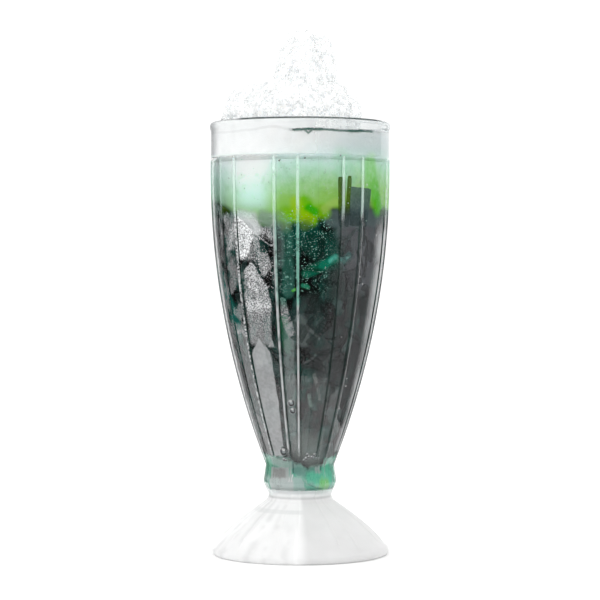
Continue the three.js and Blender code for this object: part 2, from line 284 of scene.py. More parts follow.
class Canvas:
    """Node tree of one material or world, filled by expressions."""

    def __init__(self, tree: bpy.types.NodeTree) -> None:
        """Clear a tree for use.

        Args:
            tree: Node tree, whose nodes are dropped.
        """
        self.tree = tree
        tree.nodes.clear()
        self._place: Optional[Field] = None

    def add(self, kind: str, settings: Settings = None, inputs: Inputs = None) -> bpy.types.Node:
        """Add a node.

        Args:
            kind: Type name of the node.
            settings: Properties, or the stops of a ramp, set before the inputs.
            inputs: Values or fields by socket name or number.

        Returns:
            The node.
        """
        made = self.tree.nodes.new(kind)
        for name, value in (settings or {}).items():
            if name == "stops":
                self._set_stops(made, value)
            else:
                setattr(made, name, value)
        for key, value in (inputs or {}).items():
            socket = made.inputs[key]
            if isinstance(value, Field):
                self.tree.links.new(value.socket, socket)
            elif socket.type == "RGBA":
                socket.default_value = (*value, 1.0)[:4]
            elif socket.type == "VECTOR" and isinstance(value, (int, float)):
                socket.default_value = (value,) * 3
            else:
                socket.default_value = value
        return made

    @staticmethod
    def _set_stops(made: bpy.types.Node, stops: Stops) -> None:
        """Give a ramp its stops.

        Args:
            made: Ramp node.
            stops: (position, colour) pairs in rising order, with positions of 0 to 1.
        """
        elements = made.color_ramp.elements
        while len(elements) < len(stops):
            elements.new(0.5)
        for element, (position, colour) in zip(elements, stops):
            element.position = position
            element.color = (*colour, 1.0)

    def node(
        self, kind: str, settings: Settings = None, inputs: Inputs = None, output: Union[str, int] = 0
    ) -> Field:
        """Add a node and hand back one of its outputs."""
        return Field(self, self.add(kind, settings, inputs).outputs[output])

    def math(self, operation: str, *operands: Operand) -> Field:
        """Math node of an operation."""
        return self.node("ShaderNodeMath", {"operation": operation}, dict(enumerate(operands)))

    def vector(self, operation: str, *operands: Operand) -> Field:
        """Vector Math node of an operation."""
        return self.node("ShaderNodeVectorMath", {"operation": operation}, dict(enumerate(operands)))

    def measure(self, operation: str, *operands: Operand) -> Field:
        """Number from a Vector Math node, such as a length or a dot product."""
        inputs = dict(enumerate(operands))
        return self.node("ShaderNodeVectorMath", {"operation": operation}, inputs, "Value")

    def blend(self, first: Operand, second: Operand, share: Operand) -> Field:
        """Colour a share of the way from the first to the second."""
        inputs = {0: share, 6: first, 7: second}
        return self.node("ShaderNodeMix", {"data_type": "RGBA"}, inputs, 2)

    def coats(self, base: Operand, *coats: tuple[Operand, Operand]) -> Field:
        """Colour under coats laid one on another.

        Args:
            base: Colour below them.
            coats: (colour, share) pairs, the last on top.

        Returns:
            The colour.
        """
        for colour, share in coats:
            base = self.blend(base, colour, share)
        return base

    def part(self, whole: Field, axis: int) -> Field:
        """One of the three numbers of a vector."""
        return self.node("ShaderNodeSeparateXYZ", None, {0: whole}, axis)

    def tone(self) -> Field:
        """Tone of the loose body that a point belongs to."""
        return self.node("ShaderNodeAttribute", {"attribute_name": TONE}, None, "Fac")

    def facing(self) -> Field:
        """0 where the surface faces the eye, 1 at its edge."""
        return self.node("ShaderNodeLayerWeight", None, {"Blend": 0.5}, "Facing")

    @property
    def place(self) -> Field:
        """Place on the piece, in millimetres.

        Returns:
            The place, found once for each canvas.
        """
        if self._place is None:
            self._place = self.node("ShaderNodeTexCoord", output="Object") * (1.0 / MM)
        return self._place

    def grain(self, size: float, detail: float = 2.0, stretch: Sequence[float] = (1, 1, 1)) -> Field:
        """Noise from 0 to 1 with features of a size in millimetres.

        Args:
            size: Size of the features.
            detail: Finer layers of the noise.
            stretch: Scale along each axis.

        Returns:
            The noise.
        """
        inputs = {"Vector": self.place * tuple(stretch), "Scale": 1.0 / size, "Detail": detail}
        return self.node("ShaderNodeTexNoise", {"noise_dimensions": "3D"}, inputs)

    def cells(self, size: float, feature: str = "F1") -> Field:
        """Distance field of cells of a size in millimetres."""
        inputs = {"Vector": self.place, "Scale": 1.0 / size}
        return self.node("ShaderNodeTexVoronoi", {"feature": feature}, inputs)

    def bump(self, height: Field, strength: float, distance: float) -> Field:
        """Bumped normal of a height field, with its distance in millimetres."""
        inputs = {"Height": height, "Strength": strength, "Distance": distance * MM}
        return self.node("ShaderNodeBump", None, inputs)

    def ramp(self, value: Field, stops: Stops) -> Field:
        """Colour by value.

        Args:
            value: Number between the first and the last stop.
            stops: (value, colour) pairs in rising order.

        Returns:
            The colour, blended between stops.
        """
        low, high = stops[0][0], stops[-1][0]
        placed = [((at - low) / (high - low), colour) for at, colour in stops]
        return self.node(
            "ShaderNodeValToRGB", {"stops": placed}, {"Fac": (value - low) / (high - low)}
        )

    def shader(self, **inputs: object) -> Field:
        """Principled surface; underscores in the names stand for spaces."""
        named = {name.replace("_", " "): value for name, value in inputs.items()}
        return self.node("ShaderNodeBsdfPrincipled", None, named)

    def mix_shaders(self, first: Field, second: Field, share: Operand) -> Field:
        """Surface a share of the way from the first to the second."""
        return self.node("ShaderNodeMixShader", None, {0: share, 1: first, 2: second})

    def finish(self, surface: Field, kind: str = "ShaderNodeOutputMaterial") -> None:
        """Join the surface to the output."""
        self.add(kind, None, {"Surface": surface})


class Finish(ABC):
    """Look of a surface."""

    name: str

    @abstractmethod
    def paint(self, canvas: Canvas) -> Field:
        """Build the surface on a canvas and hand it back."""

    @lru_cache(maxsize=None)
    def material(self) -> bpy.types.Material:
        """Make the material, once for each finish.

        Returns:
            The material.
        """
        made = bpy.data.materials.new(self.name)
        made.use_nodes = True
        canvas = Canvas(made.node_tree)
        canvas.finish(self.paint(canvas))
        return made


# ---- Shape of the glass ----


@dataclass(frozen=True)
class GlassShape:
    """Driving sizes of the glass and the curves worked out from them."""

    TABLE_STEP: ClassVar[float] = 0.5
    height: float = 190.0
    rim_radius: float = 39.3
    lip_radius: float = 39.8
    lip_drop: float = 1.9
    rim_wall: float = 2.3
    neck_wall: float = 3.1
    ledge_height: float = 174.0
    ledge_step: float = 0.2
    neck_height: float = 39.4
    neck_radius: float = 14.85
    knuckle_height: float = 32.1
    knuckle_radius: float = 15.9
    stem_height: float = 25.6
    stem_radius: float = 13.7
    foot_top_height: float = 23.8
    foot_top_radius: float = 14.6
    foot_edge_height: float = 3.6
    foot_edge_radius: float = 37.8
    foot_radius: float = 39.15
    foot_edge_depth: float = 1.6
    foot_edge_rise: float = 1.75
    rest_radius: float = 38.0
    hollow_radius: float = 33.6
    hollow_height: float = 12.0
    cavity_floor: float = 28.5
    cavity_floor_radius: float = 11.2
    well_draft: float = 0.08
    corner: float = 4.6
    panel_pairs: int = 8
    wide_panel: float = 30.0
    narrow_panel: float = 15.0
    first_ridge: float = -1.5
    wide_depth: float = 1.1
    narrow_depth: float = 0.5
    foot_share: float = 0.9
    bead_height: float = 0.42
    bead_width: float = 0.6

    @property
    def bowl_curve(self) -> list[Pair]:
        """Control points of the bowl's outside.

        Returns:
            Four points of (radius, height), from the ledge down.
        """
        top = self.rim_radius - self.ledge_step
        return [
            (top, self.ledge_height - 0.8),
            (top, self.ledge_height - 16.0),
            (self.rim_radius + 0.8, self.ledge_height - 69.0),
            (self.neck_radius, self.neck_height),
        ]

    @property
    def foot_curve(self) -> list[Pair]:
        """Control points of the foot's outside.

        Returns:
            Four points of (radius, height), from the stem down.
        """
        return [
            (self.foot_top_radius, self.foot_top_height),
            (21.5, 19.0),
            (31.5, 12.0),
            (self.foot_edge_radius, self.foot_edge_height),
        ]

    def bowl_radius(self, height: float) -> float:
        """Outside radius of the bowl's ridges at a height.

        Args:
            height: Height above the table.

        Returns:
            The radius.
        """
        steps = height / self.TABLE_STEP
        below = math.floor(steps)
        return lerp(self._radius_at(below), self._radius_at(below + 1), steps - below)

    @lru_cache(maxsize=None)
    def _radius_at(self, step: int) -> float:
        """Outside radius at a step of the table of heights.

        Args:
            step: Number of table steps above the table top.

        Returns:
            The radius.
        """
        low, high = 0.0, 1.0
        for _ in range(24):
            middle = (low + high) / 2
            if bezier(self.bowl_curve, middle)[1] > step * self.TABLE_STEP:
                low = middle
            else:
                high = middle
        return bezier(self.bowl_curve, low)[0]

    def cavity_radius(self, height: float) -> float:
        """Inside radius of the glass at a height.

        Args:
            height: Height above the table.

        Returns:
            The radius, rounded in at the floor.
        """
        rise = clamp((height - self.neck_height) / (self.ledge_height - self.neck_height))
        bowl = self.bowl_radius(min(height, self.ledge_height))
        bowl -= lerp(self.neck_wall, self.rim_wall, rise)
        well = self.cavity_floor_radius + self.well_draft * (height - self.cavity_floor)
        drop = clamp(self.cavity_floor + self.corner - height, 0.0, self.corner)
        return max(bowl, well) - self.corner + math.sqrt(self.corner**2 - drop**2)

    def ridge_offset(self, bearing: float) -> float:
        """Degrees from a bearing to the nearest ridge.

        Args:
            bearing: Place round the glass.

        Returns:
            The degrees.
        """
        pair = 360.0 / self.panel_pairs
        turn = (bearing - self.first_ridge) % pair
        return min(turn, abs(turn - self.wide_panel), pair - turn)

    def relief(self, bearing: float, radius: float, share: float) -> float:
        """How far the surface stands off a plain round one.

        Args:
            bearing: Place round the glass.
            radius: Plain radius there.
            share: Strength of the panels, which shrinks with the radius.

        Returns:
            Millimetres outwards, negative in a panel.
        """
        pair = 360.0 / self.panel_pairs
        turn = (bearing - self.first_ridge) % pair
        wide = turn < self.wide_panel
        across = turn / self.wide_panel if wide else (turn - self.wide_panel) / self.narrow_panel
        depth = (self.wide_depth if wide else self.narrow_depth) * 4 * across * (1 - across)
        arc = math.radians(self.ridge_offset(bearing)) * radius
        width = self.bead_width * lerp(0.7, 1.0, radius / self.rim_radius)
        bead = self.bead_height * math.exp(-((arc / width) ** 2))
        return share * (bead * lerp(1.4, 1.0, share) - depth)

    def bearings(self) -> list[float]:
        """Bearings of the mesh columns, close together at the ridges.

        Returns:
            The bearings in rising order.
        """
        near = (0.0, 0.35, 0.75, 1.2, 1.8, 2.6, 3.6, 4.9)
        pair = 360.0 / self.panel_pairs
        offsets: set[float] = {self.wide_panel + self.narrow_panel / 2}
        for ridge in (0.0, self.wide_panel):
            offsets.update(ridge + side * step for step in near for side in (-1, 1))
        offsets.update(7.5 + 2.5 * step for step in range(7))
        found = {
            round((self.first_ridge + pair * turn + offset) % 360.0, 4)
            for turn in range(self.panel_pairs)
            for offset in offsets
        }
        return sorted(found)

    def outside(self) -> Profile:
        """(radius, height, panel share) from the hollow's middle up to the lip.

        Returns:
            The profile.
        """
        points: Profile = []
        for step in range(1, 17):
            turn = step / 16 * math.pi / 2
            height = self.hollow_height * math.cos(turn)
            points.append((self.hollow_radius * math.sin(turn), max(height, 0.0), 0.0))
        points += [(self.rest_radius - 0.6, 0.0, 0.0), (self.rest_radius, 0.05, 0.0)]
        for step in range(1, 8):
            turn = lerp(-0.45 * math.pi, 0.42 * math.pi, step / 8)
            radius = self.foot_radius - self.foot_edge_depth + self.foot_edge_depth * math.cos(turn)
            height = self.foot_edge_rise + self.foot_edge_rise * math.sin(turn)
            points.append((radius, height, 0.0))
        for step in range(31):
            along = 1.0 - step / 30
            radius, height = bezier(self.foot_curve, along)
            fade = smoothstep(1.0 - along, 0.0, 0.25) * self.foot_share
            points.append((radius, height, fade * radius / self.rim_radius))
        points += self._stem()
        for step in range(72):
            radius, height = bezier(self.bowl_curve, 1.0 - step / 71)
            points.append((radius, height, radius / self.rim_radius))
        return points + self._rim()

    def _stem(self) -> Profile:
        """Waist and knuckle between the foot and the bowl.

        Returns:
            The profile.
        """
        keys = [
            (self.foot_top_radius, self.foot_top_height, 0.33),
            (self.stem_radius, self.stem_height, 0.17),
            (self.stem_radius + 0.1, self.stem_height + 1.0, 0.17),
            (self.knuckle_radius - 0.5, self.knuckle_height - 1.4, 0.4),
            (self.knuckle_radius, self.knuckle_height, 0.4),
            (self.knuckle_radius - 0.3, self.knuckle_height + 2.2, 0.4),
            (self.neck_radius, self.neck_height, 0.38),
        ]
        points = []
        for start, end in zip(keys, keys[1:]):
            for step in range(1, 5):
                share = step / 4
                points.append(tuple(lerp(a, b, share) for a, b in zip(start, end)))
        for _ in range(2):
            smoothed = points[:]
            for index in range(1, len(points) - 1):
                trio = points[index - 1], points[index], points[index + 1]
                smoothed[index] = tuple(sum(values) / 3 for values in zip(*trio))
            points = smoothed
        return points[:-1]

    def _rim(self) -> Profile:
        """Smooth band and rolled lip above the ledge, to the inside edge.

        Returns:
            The profile.
        """
        inside = self.cavity_radius(self.height)
        widest = self.height - self.lip_drop
        band = [
            (self.rim_radius - 0.1, self.ledge_height - 0.35, 0.45),
            (self.rim_radius + 0.05, self.ledge_height, 0.0),
            (self.rim_radius, self.ledge_height + 0.6, 0.0),
            (self.rim_radius, self.ledge_height + 4.0, 0.0),
            (self.rim_radius, widest - 4.0, 0.0),
            (self.rim_radius, widest - 2.4, 0.0),
            (self.rim_radius + 0.12, widest - 1.5, 0.0),
            (self.lip_radius - 0.12, widest - 0.8, 0.0),
        ]
        middle = (self.lip_radius + inside) / 2
        half = (self.lip_radius - inside) / 2
        for step in range(11):
            turn = math.pi * step / 10
            band.append((middle + half * math.cos(turn), widest + self.lip_drop * math.sin(turn), 0.0))
        return band

    def inside(self, reach: float = 0.0, steps: int = 60) -> Profile:
        """(radius, height, 0) of the cavity from the ledge down to its floor's edge.

        Args:
            reach: How far the surface is moved into the wall.
            steps: Rings of the straight part.

        Returns:
            Points in falling order, without the middle of the floor.
        """
        straight = self.cavity_floor + self.corner
        points = []
        for step in range(steps + 1):
            height = lerp(self.ledge_height, straight, (step / steps) ** 0.8)
            points.append((self.cavity_radius(height) + reach, height, 0.0))
        centre = self.cavity_radius(straight) - self.corner
        bend = self.corner + reach
        for step in range(1, 9):
            turn = step / 8 * math.pi / 2
            points.append((centre + bend * math.cos(turn), straight - bend * math.sin(turn), 0.0))
        points.append((centre * 0.5, self.cavity_floor - reach, 0.0))
        return points


SHAPE = GlassShape()


# ---- Fields of colour and mist ----


@dataclass(frozen=True)
class Spot:
    """Soft-edged patch along a line on the wall, given by bearings and heights."""

    start: Pair
    end: Pair
    width: float
    soft: float
    strength: float
    shows: Rgb = (255, 255, 255)  # screen colour

    def mask(self, wall: "WallField") -> Field:
        """How strongly the patch shows at each place of the wall.

        Args:
            wall: Fields of the wall.

        Returns:
            The mask, 0 to the strength.
        """
        canvas = wall.canvas
        middle = clamp((self.start[1] + self.end[1]) / 2, SHAPE.neck_height, SHAPE.ledge_height)
        scale = math.radians(1) * SHAPE.bowl_radius(middle)
        start = Vector((self.start[0] * scale, self.start[1], 0))
        end = Vector((self.end[0] * scale, self.end[1], 0))
        turn = -math.atan2(end.y - start.y, end.x - start.x)
        centre = Matrix.Rotation(turn, 3, "Z") @ ((start + end) / 2)
        inputs = {
            "Vector": wall.place,
            "Location": tuple(-centre),
            "Rotation": (0, 0, turn),
            "Scale": (scale, 1, 1),
        }
        local = canvas.vector("ABSOLUTE", canvas.node("ShaderNodeMapping", None, inputs))
        beyond = canvas.vector("MAXIMUM", local - ((end - start).length / 2, 0, 0), (0, 0, 0))
        away = canvas.measure("LENGTH", beyond)
        return away.rise(self.width + self.soft, self.width, self.strength)


@dataclass(frozen=True)
class Wedge:
    """Patch with straight edges on the wall, whose corners run clockwise as seen from outside."""

    corners: tuple[Pair, ...]
    soft: tuple[float, ...]
    strength: float
    shows: Rgb = (255, 255, 255)  # screen colour

    def mask(self, wall: "WallField") -> Field:
        """How strongly the patch shows at each place of the wall.

        Args:
            wall: Fields of the wall.

        Returns:
            The mask, 0 to the strength.
        """
        middle = sum(height for _, height in self.corners) / len(self.corners)
        scale = math.radians(1) * SHAPE.bowl_radius(middle)
        total: Optional[Field] = None
        ends = self.corners[1:] + self.corners[:1]
        for (b0, z0), (b1, z1), soft in zip(self.corners, ends, self.soft):
            dx, dz = (b1 - b0) * scale, z1 - z0
            length = math.hypot(dx, dz)
            across = (scale * dz / length, -dx / length, 0)
            inward = wall.canvas.measure("DOT_PRODUCT", wall.place, across)
            at = (b0 * scale * dz - z0 * dx) / length
            part = inward.rise(at - soft * 0.5, at + soft * 0.5, 1 if total else self.strength)
            total = total * part if total else part
        return total


Patch = Union[Spot, Wedge]

SHORE_LEVEL = 184.5
SHORE_CREST = 1.3
SHORE_RIPPLE = 0.22
SHORE_RIPPLES = 9  # round a full turn
CREST_RISE = (-32, -18)
CREST_FALL = (-16, -4)


def shore_height(bearing: float) -> float:
    """Height at which the ice meets the wall, in the wavy line that shows below the lip.

    Args:
        bearing: Place round the glass.

    Returns:
        The height.
    """
    side = math.degrees(math.asin(math.sin(math.radians(bearing))))
    crest = smoothstep(side, *CREST_RISE) * (1 - smoothstep(side, *CREST_FALL))
    ripple = math.sin(math.radians(side * SHORE_RIPPLES))
    return SHORE_LEVEL + SHORE_CREST * crest + SHORE_RIPPLE * ripple


class WallField:
    """Bearings and heights on the wall, bent a little by noise so that patches look natural."""

    def __init__(self, canvas: Canvas, wobble: float = 0.0, size: float = 9.0) -> None:
        """Work out the fields.

        Args:
            canvas: Where the nodes go.
            wobble: How far patches are bent, in millimetres.
            size: Size of the bends.
        """
        self.canvas = canvas
        across, deep, up = (canvas.part(canvas.place, axis) for axis in range(3))
        radius = canvas.math("SQRT", across * across + deep * deep)
        self.side = across / canvas.math("MAXIMUM", radius, 0.01)
        self.bearing = canvas.math("ARCSINE", self.side) * math.degrees(1)
        self.height = up
        self.radius = radius
        if wobble:
            bend = canvas.grain(size, 3) - 0.5
            lift = canvas.grain(size * 0.8, 3, (1.3, 1.3, 0.9)) - 0.5
            self.bearing = self.bearing + bend * (wobble * 4)
            self.height = self.height + lift * (wobble * 2)
        self.place = canvas.node("ShaderNodeCombineXYZ", None, {0: self.bearing, 1: self.height})

    def shore(self) -> Field:
        """Height at which the ice meets the wall, as shore_height gives it.

        Returns:
            The height at each place.
        """
        crest = self.bearing.rise(*CREST_RISE) * self.bearing.rise(*reversed(CREST_FALL))
        ripple = self.canvas.math("SINE", self.bearing * math.radians(SHORE_RIPPLES))
        return crest * SHORE_CREST + ripple * SHORE_RIPPLE + SHORE_LEVEL

    def paint(self, base: Field, spots: Iterable[Patch]) -> Field:
        """Lay patches of colour over a base, the last on top."""
        return self.canvas.coats(base, *((seen(*spot.shows), spot.mask(self)) for spot in spots))

    def most(self, spots: Iterable[Patch]) -> Field:
        """Strongest of the patches at each place.

        Args:
            spots: Patches to compare.

        Returns:
            The strongest mask.
        """
        total: Optional[Field] = None
        for spot in spots:
            mask = spot.mask(self)
            total = mask if total is None else self.canvas.math("MAXIMUM", total, mask)
        return total


SYRUP_STOPS = [
    (138, seen(20, 44, 40)),
    (142, seen(30, 66, 46)),
    (146, seen(90, 150, 44)),
    (150, seen(120, 182, 66)),
    (156, seen(132, 188, 88)),
    (161, seen(142, 198, 128)),
    (166, seen(158, 208, 172)),
    (170, seen(180, 220, 204)),
    (174, seen(204, 234, 230)),
    (179, seen(228, 243, 243)),
    (184, seen(250, 252, 252)),
]

# painted light: colours of the syrup where it is paler on the left, where the light falls
LEFT_LIGHT_STOPS = [(150, seen(162, 204, 186)), (160, seen(184, 228, 216)), (170, seen(230, 246, 252))]

SHADE_STOPS = [
    (152, seen(60, 84, 72)),
    (158, seen(128, 166, 150)),
    (165, seen(158, 190, 180)),
    (171, seen(184, 198, 197)),
]

TINTS = [
    # slate over the jelly of the right side
    Spot((42, 122), (46, 70), 9, 6, 0.7, (56, 56, 57)),
    Spot((44, 144), (50, 128), 9, 6, 0.75, (82, 84, 88)),
    # grey haze over the jelly on the left
    Wedge(
        ((-46, 151), (-31, 150), (-26.5, 141.5), (-30.5, 140), (-38, 143.5), (-47, 148.5)),
        (3, 3.4, 3, 1.4, 1.4, 3),
        0.88,
        (190, 196, 198),
    ),
    Spot((-26, 147.5), (-19, 146.5), 1.4, 3.2, 0.8, (122, 140, 134)),
    # slate of the topmost jelly on the right
    Spot((22, 147), (62, 147.5), 2.4, 2.6, 0.8, (76, 88, 90)),
    # lime where light passes between the topmost pieces
    Spot((-9, 149), (16, 150), 1.2, 3.5, 0.85, (108, 174, 24)),
    Spot((-14, 148), (-9, 143), 1.2, 2.4, 0.6, (116, 152, 104)),
    Spot((3, 154), (7, 146), 1.6, 2.6, 0.95, (96, 172, 0)),
    Spot((2.5, 145), (6, 147.5), 1.4, 2.8, 0.9, (134, 176, 0)),
    Spot((-3, 154), (-1, 148), 1, 3, 0.7, (146, 190, 20)),
    Spot((5.5, 151.4), (9, 150), 0.8, 1.8, 0.9, (44, 152, 0)),
    Spot((16, 151), (24, 154), 0.6, 2.2, 0.5, (166, 196, 96)),
    Spot((59, 160), (65, 152.5), 1.6, 4.4, 0.95, (72, 166, 14)),
    Spot((54, 170), (57, 161), 2.8, 4.5, 0.6, (112, 194, 84)),
    Spot((28, 172), (33, 164), 2.8, 4, 0.5, (144, 200, 166)),
    # teal and grey where liquor and paler jelly show between the pieces
    Spot((2, 140), (22, 131), 4, 4, 0.75, (10, 60, 52)),
    Spot((14.6, 138), (14.4, 130), 1, 2, 0.6, (4, 20, 24)),
    Spot((4, 124), (16, 127), 1.2, 2, 0.8, (12, 92, 70)),
    Spot((16, 127), (26, 130), 1, 1.6, 0.85, (24, 108, 84)),
    Spot((22, 129), (25.5, 130.6), 0.3, 1.4, 0.8, (70, 176, 152)),
    Spot((32, 129.5), (36, 131.5), 0.8, 1.6, 0.7, (78, 138, 130)),
    Spot((2, 118.6), (6, 117.6), 0.3, 1.2, 0.8, (40, 124, 90)),
    Spot((-9, 140), (-8, 116), 1.6, 2, 0.6, (50, 96, 84)),
    Spot((8, 108), (22, 84), 3, 6, 0.5, (62, 68, 68)),
    Spot((-80, 122), (-60, 100), 2, 5, 0.9, (4, 84, 76)),
    Spot((-5.2, 116.2), (-3.4, 117), 0.2, 0.7, 0.9, (70, 160, 50)),
    Spot((0, 103), (3, 95), 1.8, 2.5, 0.5, (100, 110, 108)),
    Spot((4, 50), (22, 46), 0.5, 11, 0.6, (110, 120, 116)),
    Spot((-14.5, 144), (-14, 128), 1, 2, 0.4, (104, 122, 120)),
    # faint light and dark edges of shreds in the middle
    Spot((3, 85), (14, 89), 0.1, 0.9, 0.35, (96, 106, 104)),
    Spot((5, 101), (16, 96), 0.2, 1, 0.45, (100, 108, 106)),
    Spot((14, 80), (22, 70), 0.3, 1, 0.5, (98, 104, 100)),
    Spot((2, 126), (24, 124), 0.3, 1, 0.5, (16, 22, 24)),
    Spot((8, 121), (28, 119.4), 0.4, 1, 0.5, (20, 24, 26)),
    Spot((9.5, 71), (12, 67), 0.1, 1.5, 0.5, (110, 138, 128)),
    Spot((-14, 104), (-11, 92), 1, 2.6, 0.8, (24, 78, 52)),
    Spot((-8, 100), (-10, 56), 1.6, 2.2, 0.5, (92, 118, 112)),
]

NECK_TINTS = [
    # green and grey patches at the top of the knuckle
    Spot((-80, 40), (-58, 34), 2.2, 2, 0.9, (96, 170, 136)),
    Spot((-52, 42), (-14, 41), 1.2, 2.2, 0.75, (142, 160, 154)),
    Spot((-12, 41.4), (-6, 38), 1.2, 1.8, 0.7, (94, 130, 122)),
    Spot((2, 38.5), (20, 37.5), 2.2, 1.8, 0.8, (98, 138, 128)),
    Spot((16, 41.4), (44, 41), 1.4, 1.8, 0.8, (98, 104, 102)),
    # grey and pale blocks inside the knuckle
    Wedge(((-66, 39), (-20, 39), (-19, 33), (-68, 33)), (1.2, 1.2, 1.2, 1.2), 0.95, (168, 174, 172)),
    Wedge(((-58, 38.2), (-29, 38.2), (-28, 33.6), (-59, 33.6)), (2, 2, 2, 2), 0.9, (138, 137, 136)),
    Wedge(((-80, 33.6), (-12, 34), (-12, 28), (-80, 28)), (2, 2, 1, 2), 0.9, (190, 197, 197)),
    Wedge(
        ((-13, 34.8), (1, 34.6), (7, 32.6), (12, 28), (-14, 28)),
        (0.7, 0.7, 0.7, 1, 1),
        0.85,
        (154, 180, 174),
    ),
    Wedge(
        ((31.5, 39), (41, 39.2), (42, 35.8), (36, 35.2), (31, 37)),
        (0.8, 0.8, 0.8, 1.2, 0.8),
        0.8,
        (160, 170, 170),
    ),
    # green light at the right
    Spot((20, 35), (52, 33.4), 1.4, 2, 0.85, (84, 184, 146)),
    Spot((46, 31.8), (66, 31.4), 0.6, 3, 0.85, (112, 190, 104)),
    Spot((60, 38), (74, 34), 1.6, 2, 0.9, (92, 188, 150)),
    # dark lines and a painted highlight streak at the neck
    Spot((-13.5, 41.5), (-13.5, 37), 0.1, 0.5, 0.8, (50, 80, 76)),
    Spot((44, 41.5), (43.5, 37.4), 0.1, 0.6, 0.6, (50, 84, 76)),
    Spot((-15.5, 35.4), (-19, 33.2), 0.15, 0.5, 0.95, (240, 246, 246)),
]

# the small dark point in the painted shade line of the ice, right of the middle
NOTCH = [Spot((side, 184.6), (5.3, 183), 0.3, 0.4, 0.9) for side in (2.4, 8.2)]


def shore_shade_line(wall: WallField) -> Field:
    """How dark the thin line is where the ice meets the wall, partly meltwater and partly painted shade:
    faint on the left, strong on the right.

    Args:
        wall: Fields of the wall.

    Returns:
        The darkness, 0 to 1.
    """
    canvas = wall.canvas
    drop = wall.shore() - wall.height
    ragged = (canvas.grain(2.2, 3) - 0.5) * 1.2
    strong = wall.bearing.within(-3, 53, 5) * 0.8 + 0.12
    thick = wall.bearing.within(-3, 12, 4) * 0.35 + wall.bearing.within(34, 43, 2) * 0.35
    line = (drop + ragged * 0.5).within(-0.25, 0.3, 0.45) + (drop + ragged).within(-0.3, 0.9, 0.4) * thick
    return canvas.math("MAXIMUM", line * strong, wall.most(NOTCH)).held()


def filling_colour(wall: WallField) -> Field:
    """Colour of everything that fills the glass, as it shows against the wall.

    Args:
        wall: Fields of the wall.

    Returns:
        White ice above, mint to lime syrup, dark teal liquor below, green in the knuckle; the syrup is
        painted lighter on the left and greyer at the far left and on the right, as painted light and shade.
    """
    canvas = wall.canvas
    shifted = wall.height - wall.side * 4 + (canvas.grain(11, 3) - 0.5) * 7
    syrup = canvas.ramp(shifted, SYRUP_STOPS)
    # painted light: paler syrup on the left, fading toward the far left edge
    pale = wall.side.rise(-0.2, -0.48) * wall.height.rise(147, 154) * wall.height.rise(182, 174)
    pale = pale * wall.side.rise(-1, -0.6)
    syrup = canvas.blend(syrup, canvas.ramp(shifted, LEFT_LIGHT_STOPS), pale * 0.9)
    shade = wall.side.rise(-0.7, -0.96) * wall.height.rise(176, 172)
    syrup = canvas.blend(syrup, canvas.ramp(wall.height, SHADE_STOPS), shade * 0.85)
    # painted shade: the band between syrup and ledge is greyer on the right
    right_shade = wall.side.rise(0, 0.7) * wall.height.rise(171, 176) * wall.height.rise(187, 181)
    band = canvas.blend(seen(172, 200, 194), seen(192, 203, 204), wall.height.rise(175, 180))
    syrup = canvas.blend(syrup, band, right_shade * 0.85)
    dark = canvas.ramp(
        canvas.grain(5, 4, (1, 1, 0.6)),
        [
            (0.25, seen(2, 6, 6)),
            (0.45, seen(8, 24, 22)),
            (0.58, seen(26, 50, 46)),
            (0.75, seen(62, 84, 80)),
        ],
    )
    left = canvas.math("MAXIMUM", wall.side * -1 - 0.5, 0) * 22
    edge = left + wall.side.rise(0.10, 0.24) * 7 + wall.side.rise(0.42, 0.66) * 0.6 + 144.4
    level = (wall.height - edge).rise(-1.6, 1.8)
    body = canvas.blend(dark, syrup, level)
    body = wall.paint(body, TINTS)
    knuckle = canvas.blend(
        seen(84, 156, 132), seen(140, 182, 168), canvas.grain(4, 3).rise(0.35, 0.65)
    )
    knuckle = WallField(canvas, wobble=1.5, size=3).paint(knuckle, NECK_TINTS)
    ragged = (canvas.grain(2.6, 3) - 0.5) * 7 + abs(wall.side) * 3 - 1
    ragged = ragged - wall.side.within(0.15, 0.7, 0.15) * 2.4 + wall.side.rise(0, -0.3)
    return canvas.blend(body, knuckle, (wall.height - ragged).rise(43, 40.6))


# ---- Finishes ----

FROST = [
    # bright tongue of frost down the ridge at the upper left, thinning out to the right; its brightness is
    # partly painted reflection of the light
    Wedge(
        ((-45.5, 149), (-37.2, 144.3), (-30.4, 140.4), (-34, 135.3), (-37, 129.8), (-45.5, 129.8)),
        (0.6, 1.2, 2.8, 2.8, 2.6, 0.6),
        0.80,
    ),
    Wedge(
        ((-38, 143), (-28.9, 139.5), (-27.8, 134.9), (-30.6, 129.3), (-42, 129.4)),
        (1.4, 1.4, 3, 2.4, 2),
        0.37,
    ),
    Spot((-30.4, 140.2), (-19.1, 135.3), 0.15, 0.35, 0.5),
    # second tongue below it, which widens downwards
    Wedge(
        (
            (-34.8, 128.6), (-29, 123.4), (-23.4, 117.4), (-20.9, 108),
            (-44, 107), (-43.3, 116.5), (-42.5, 124.7),
        ),
        (0.8, 0.8, 1.2, 8, 1.6, 1.2, 1.2),
        0.44,
    ),
    Wedge(((-36, 128.4), (-31.5, 126), (-30, 114), (-41, 116), (-42.5, 124.7)), (0.8, 2.4, 4, 2, 1), 0.6),
    # broken patch on the narrow panel right of it
    Wedge(((-14.5, 113.5), (-11, 113), (-4, 98), (-9, 95.5), (-14, 104)), (0.8, 0.8, 1.2, 1.2, 1), 0.3),
]

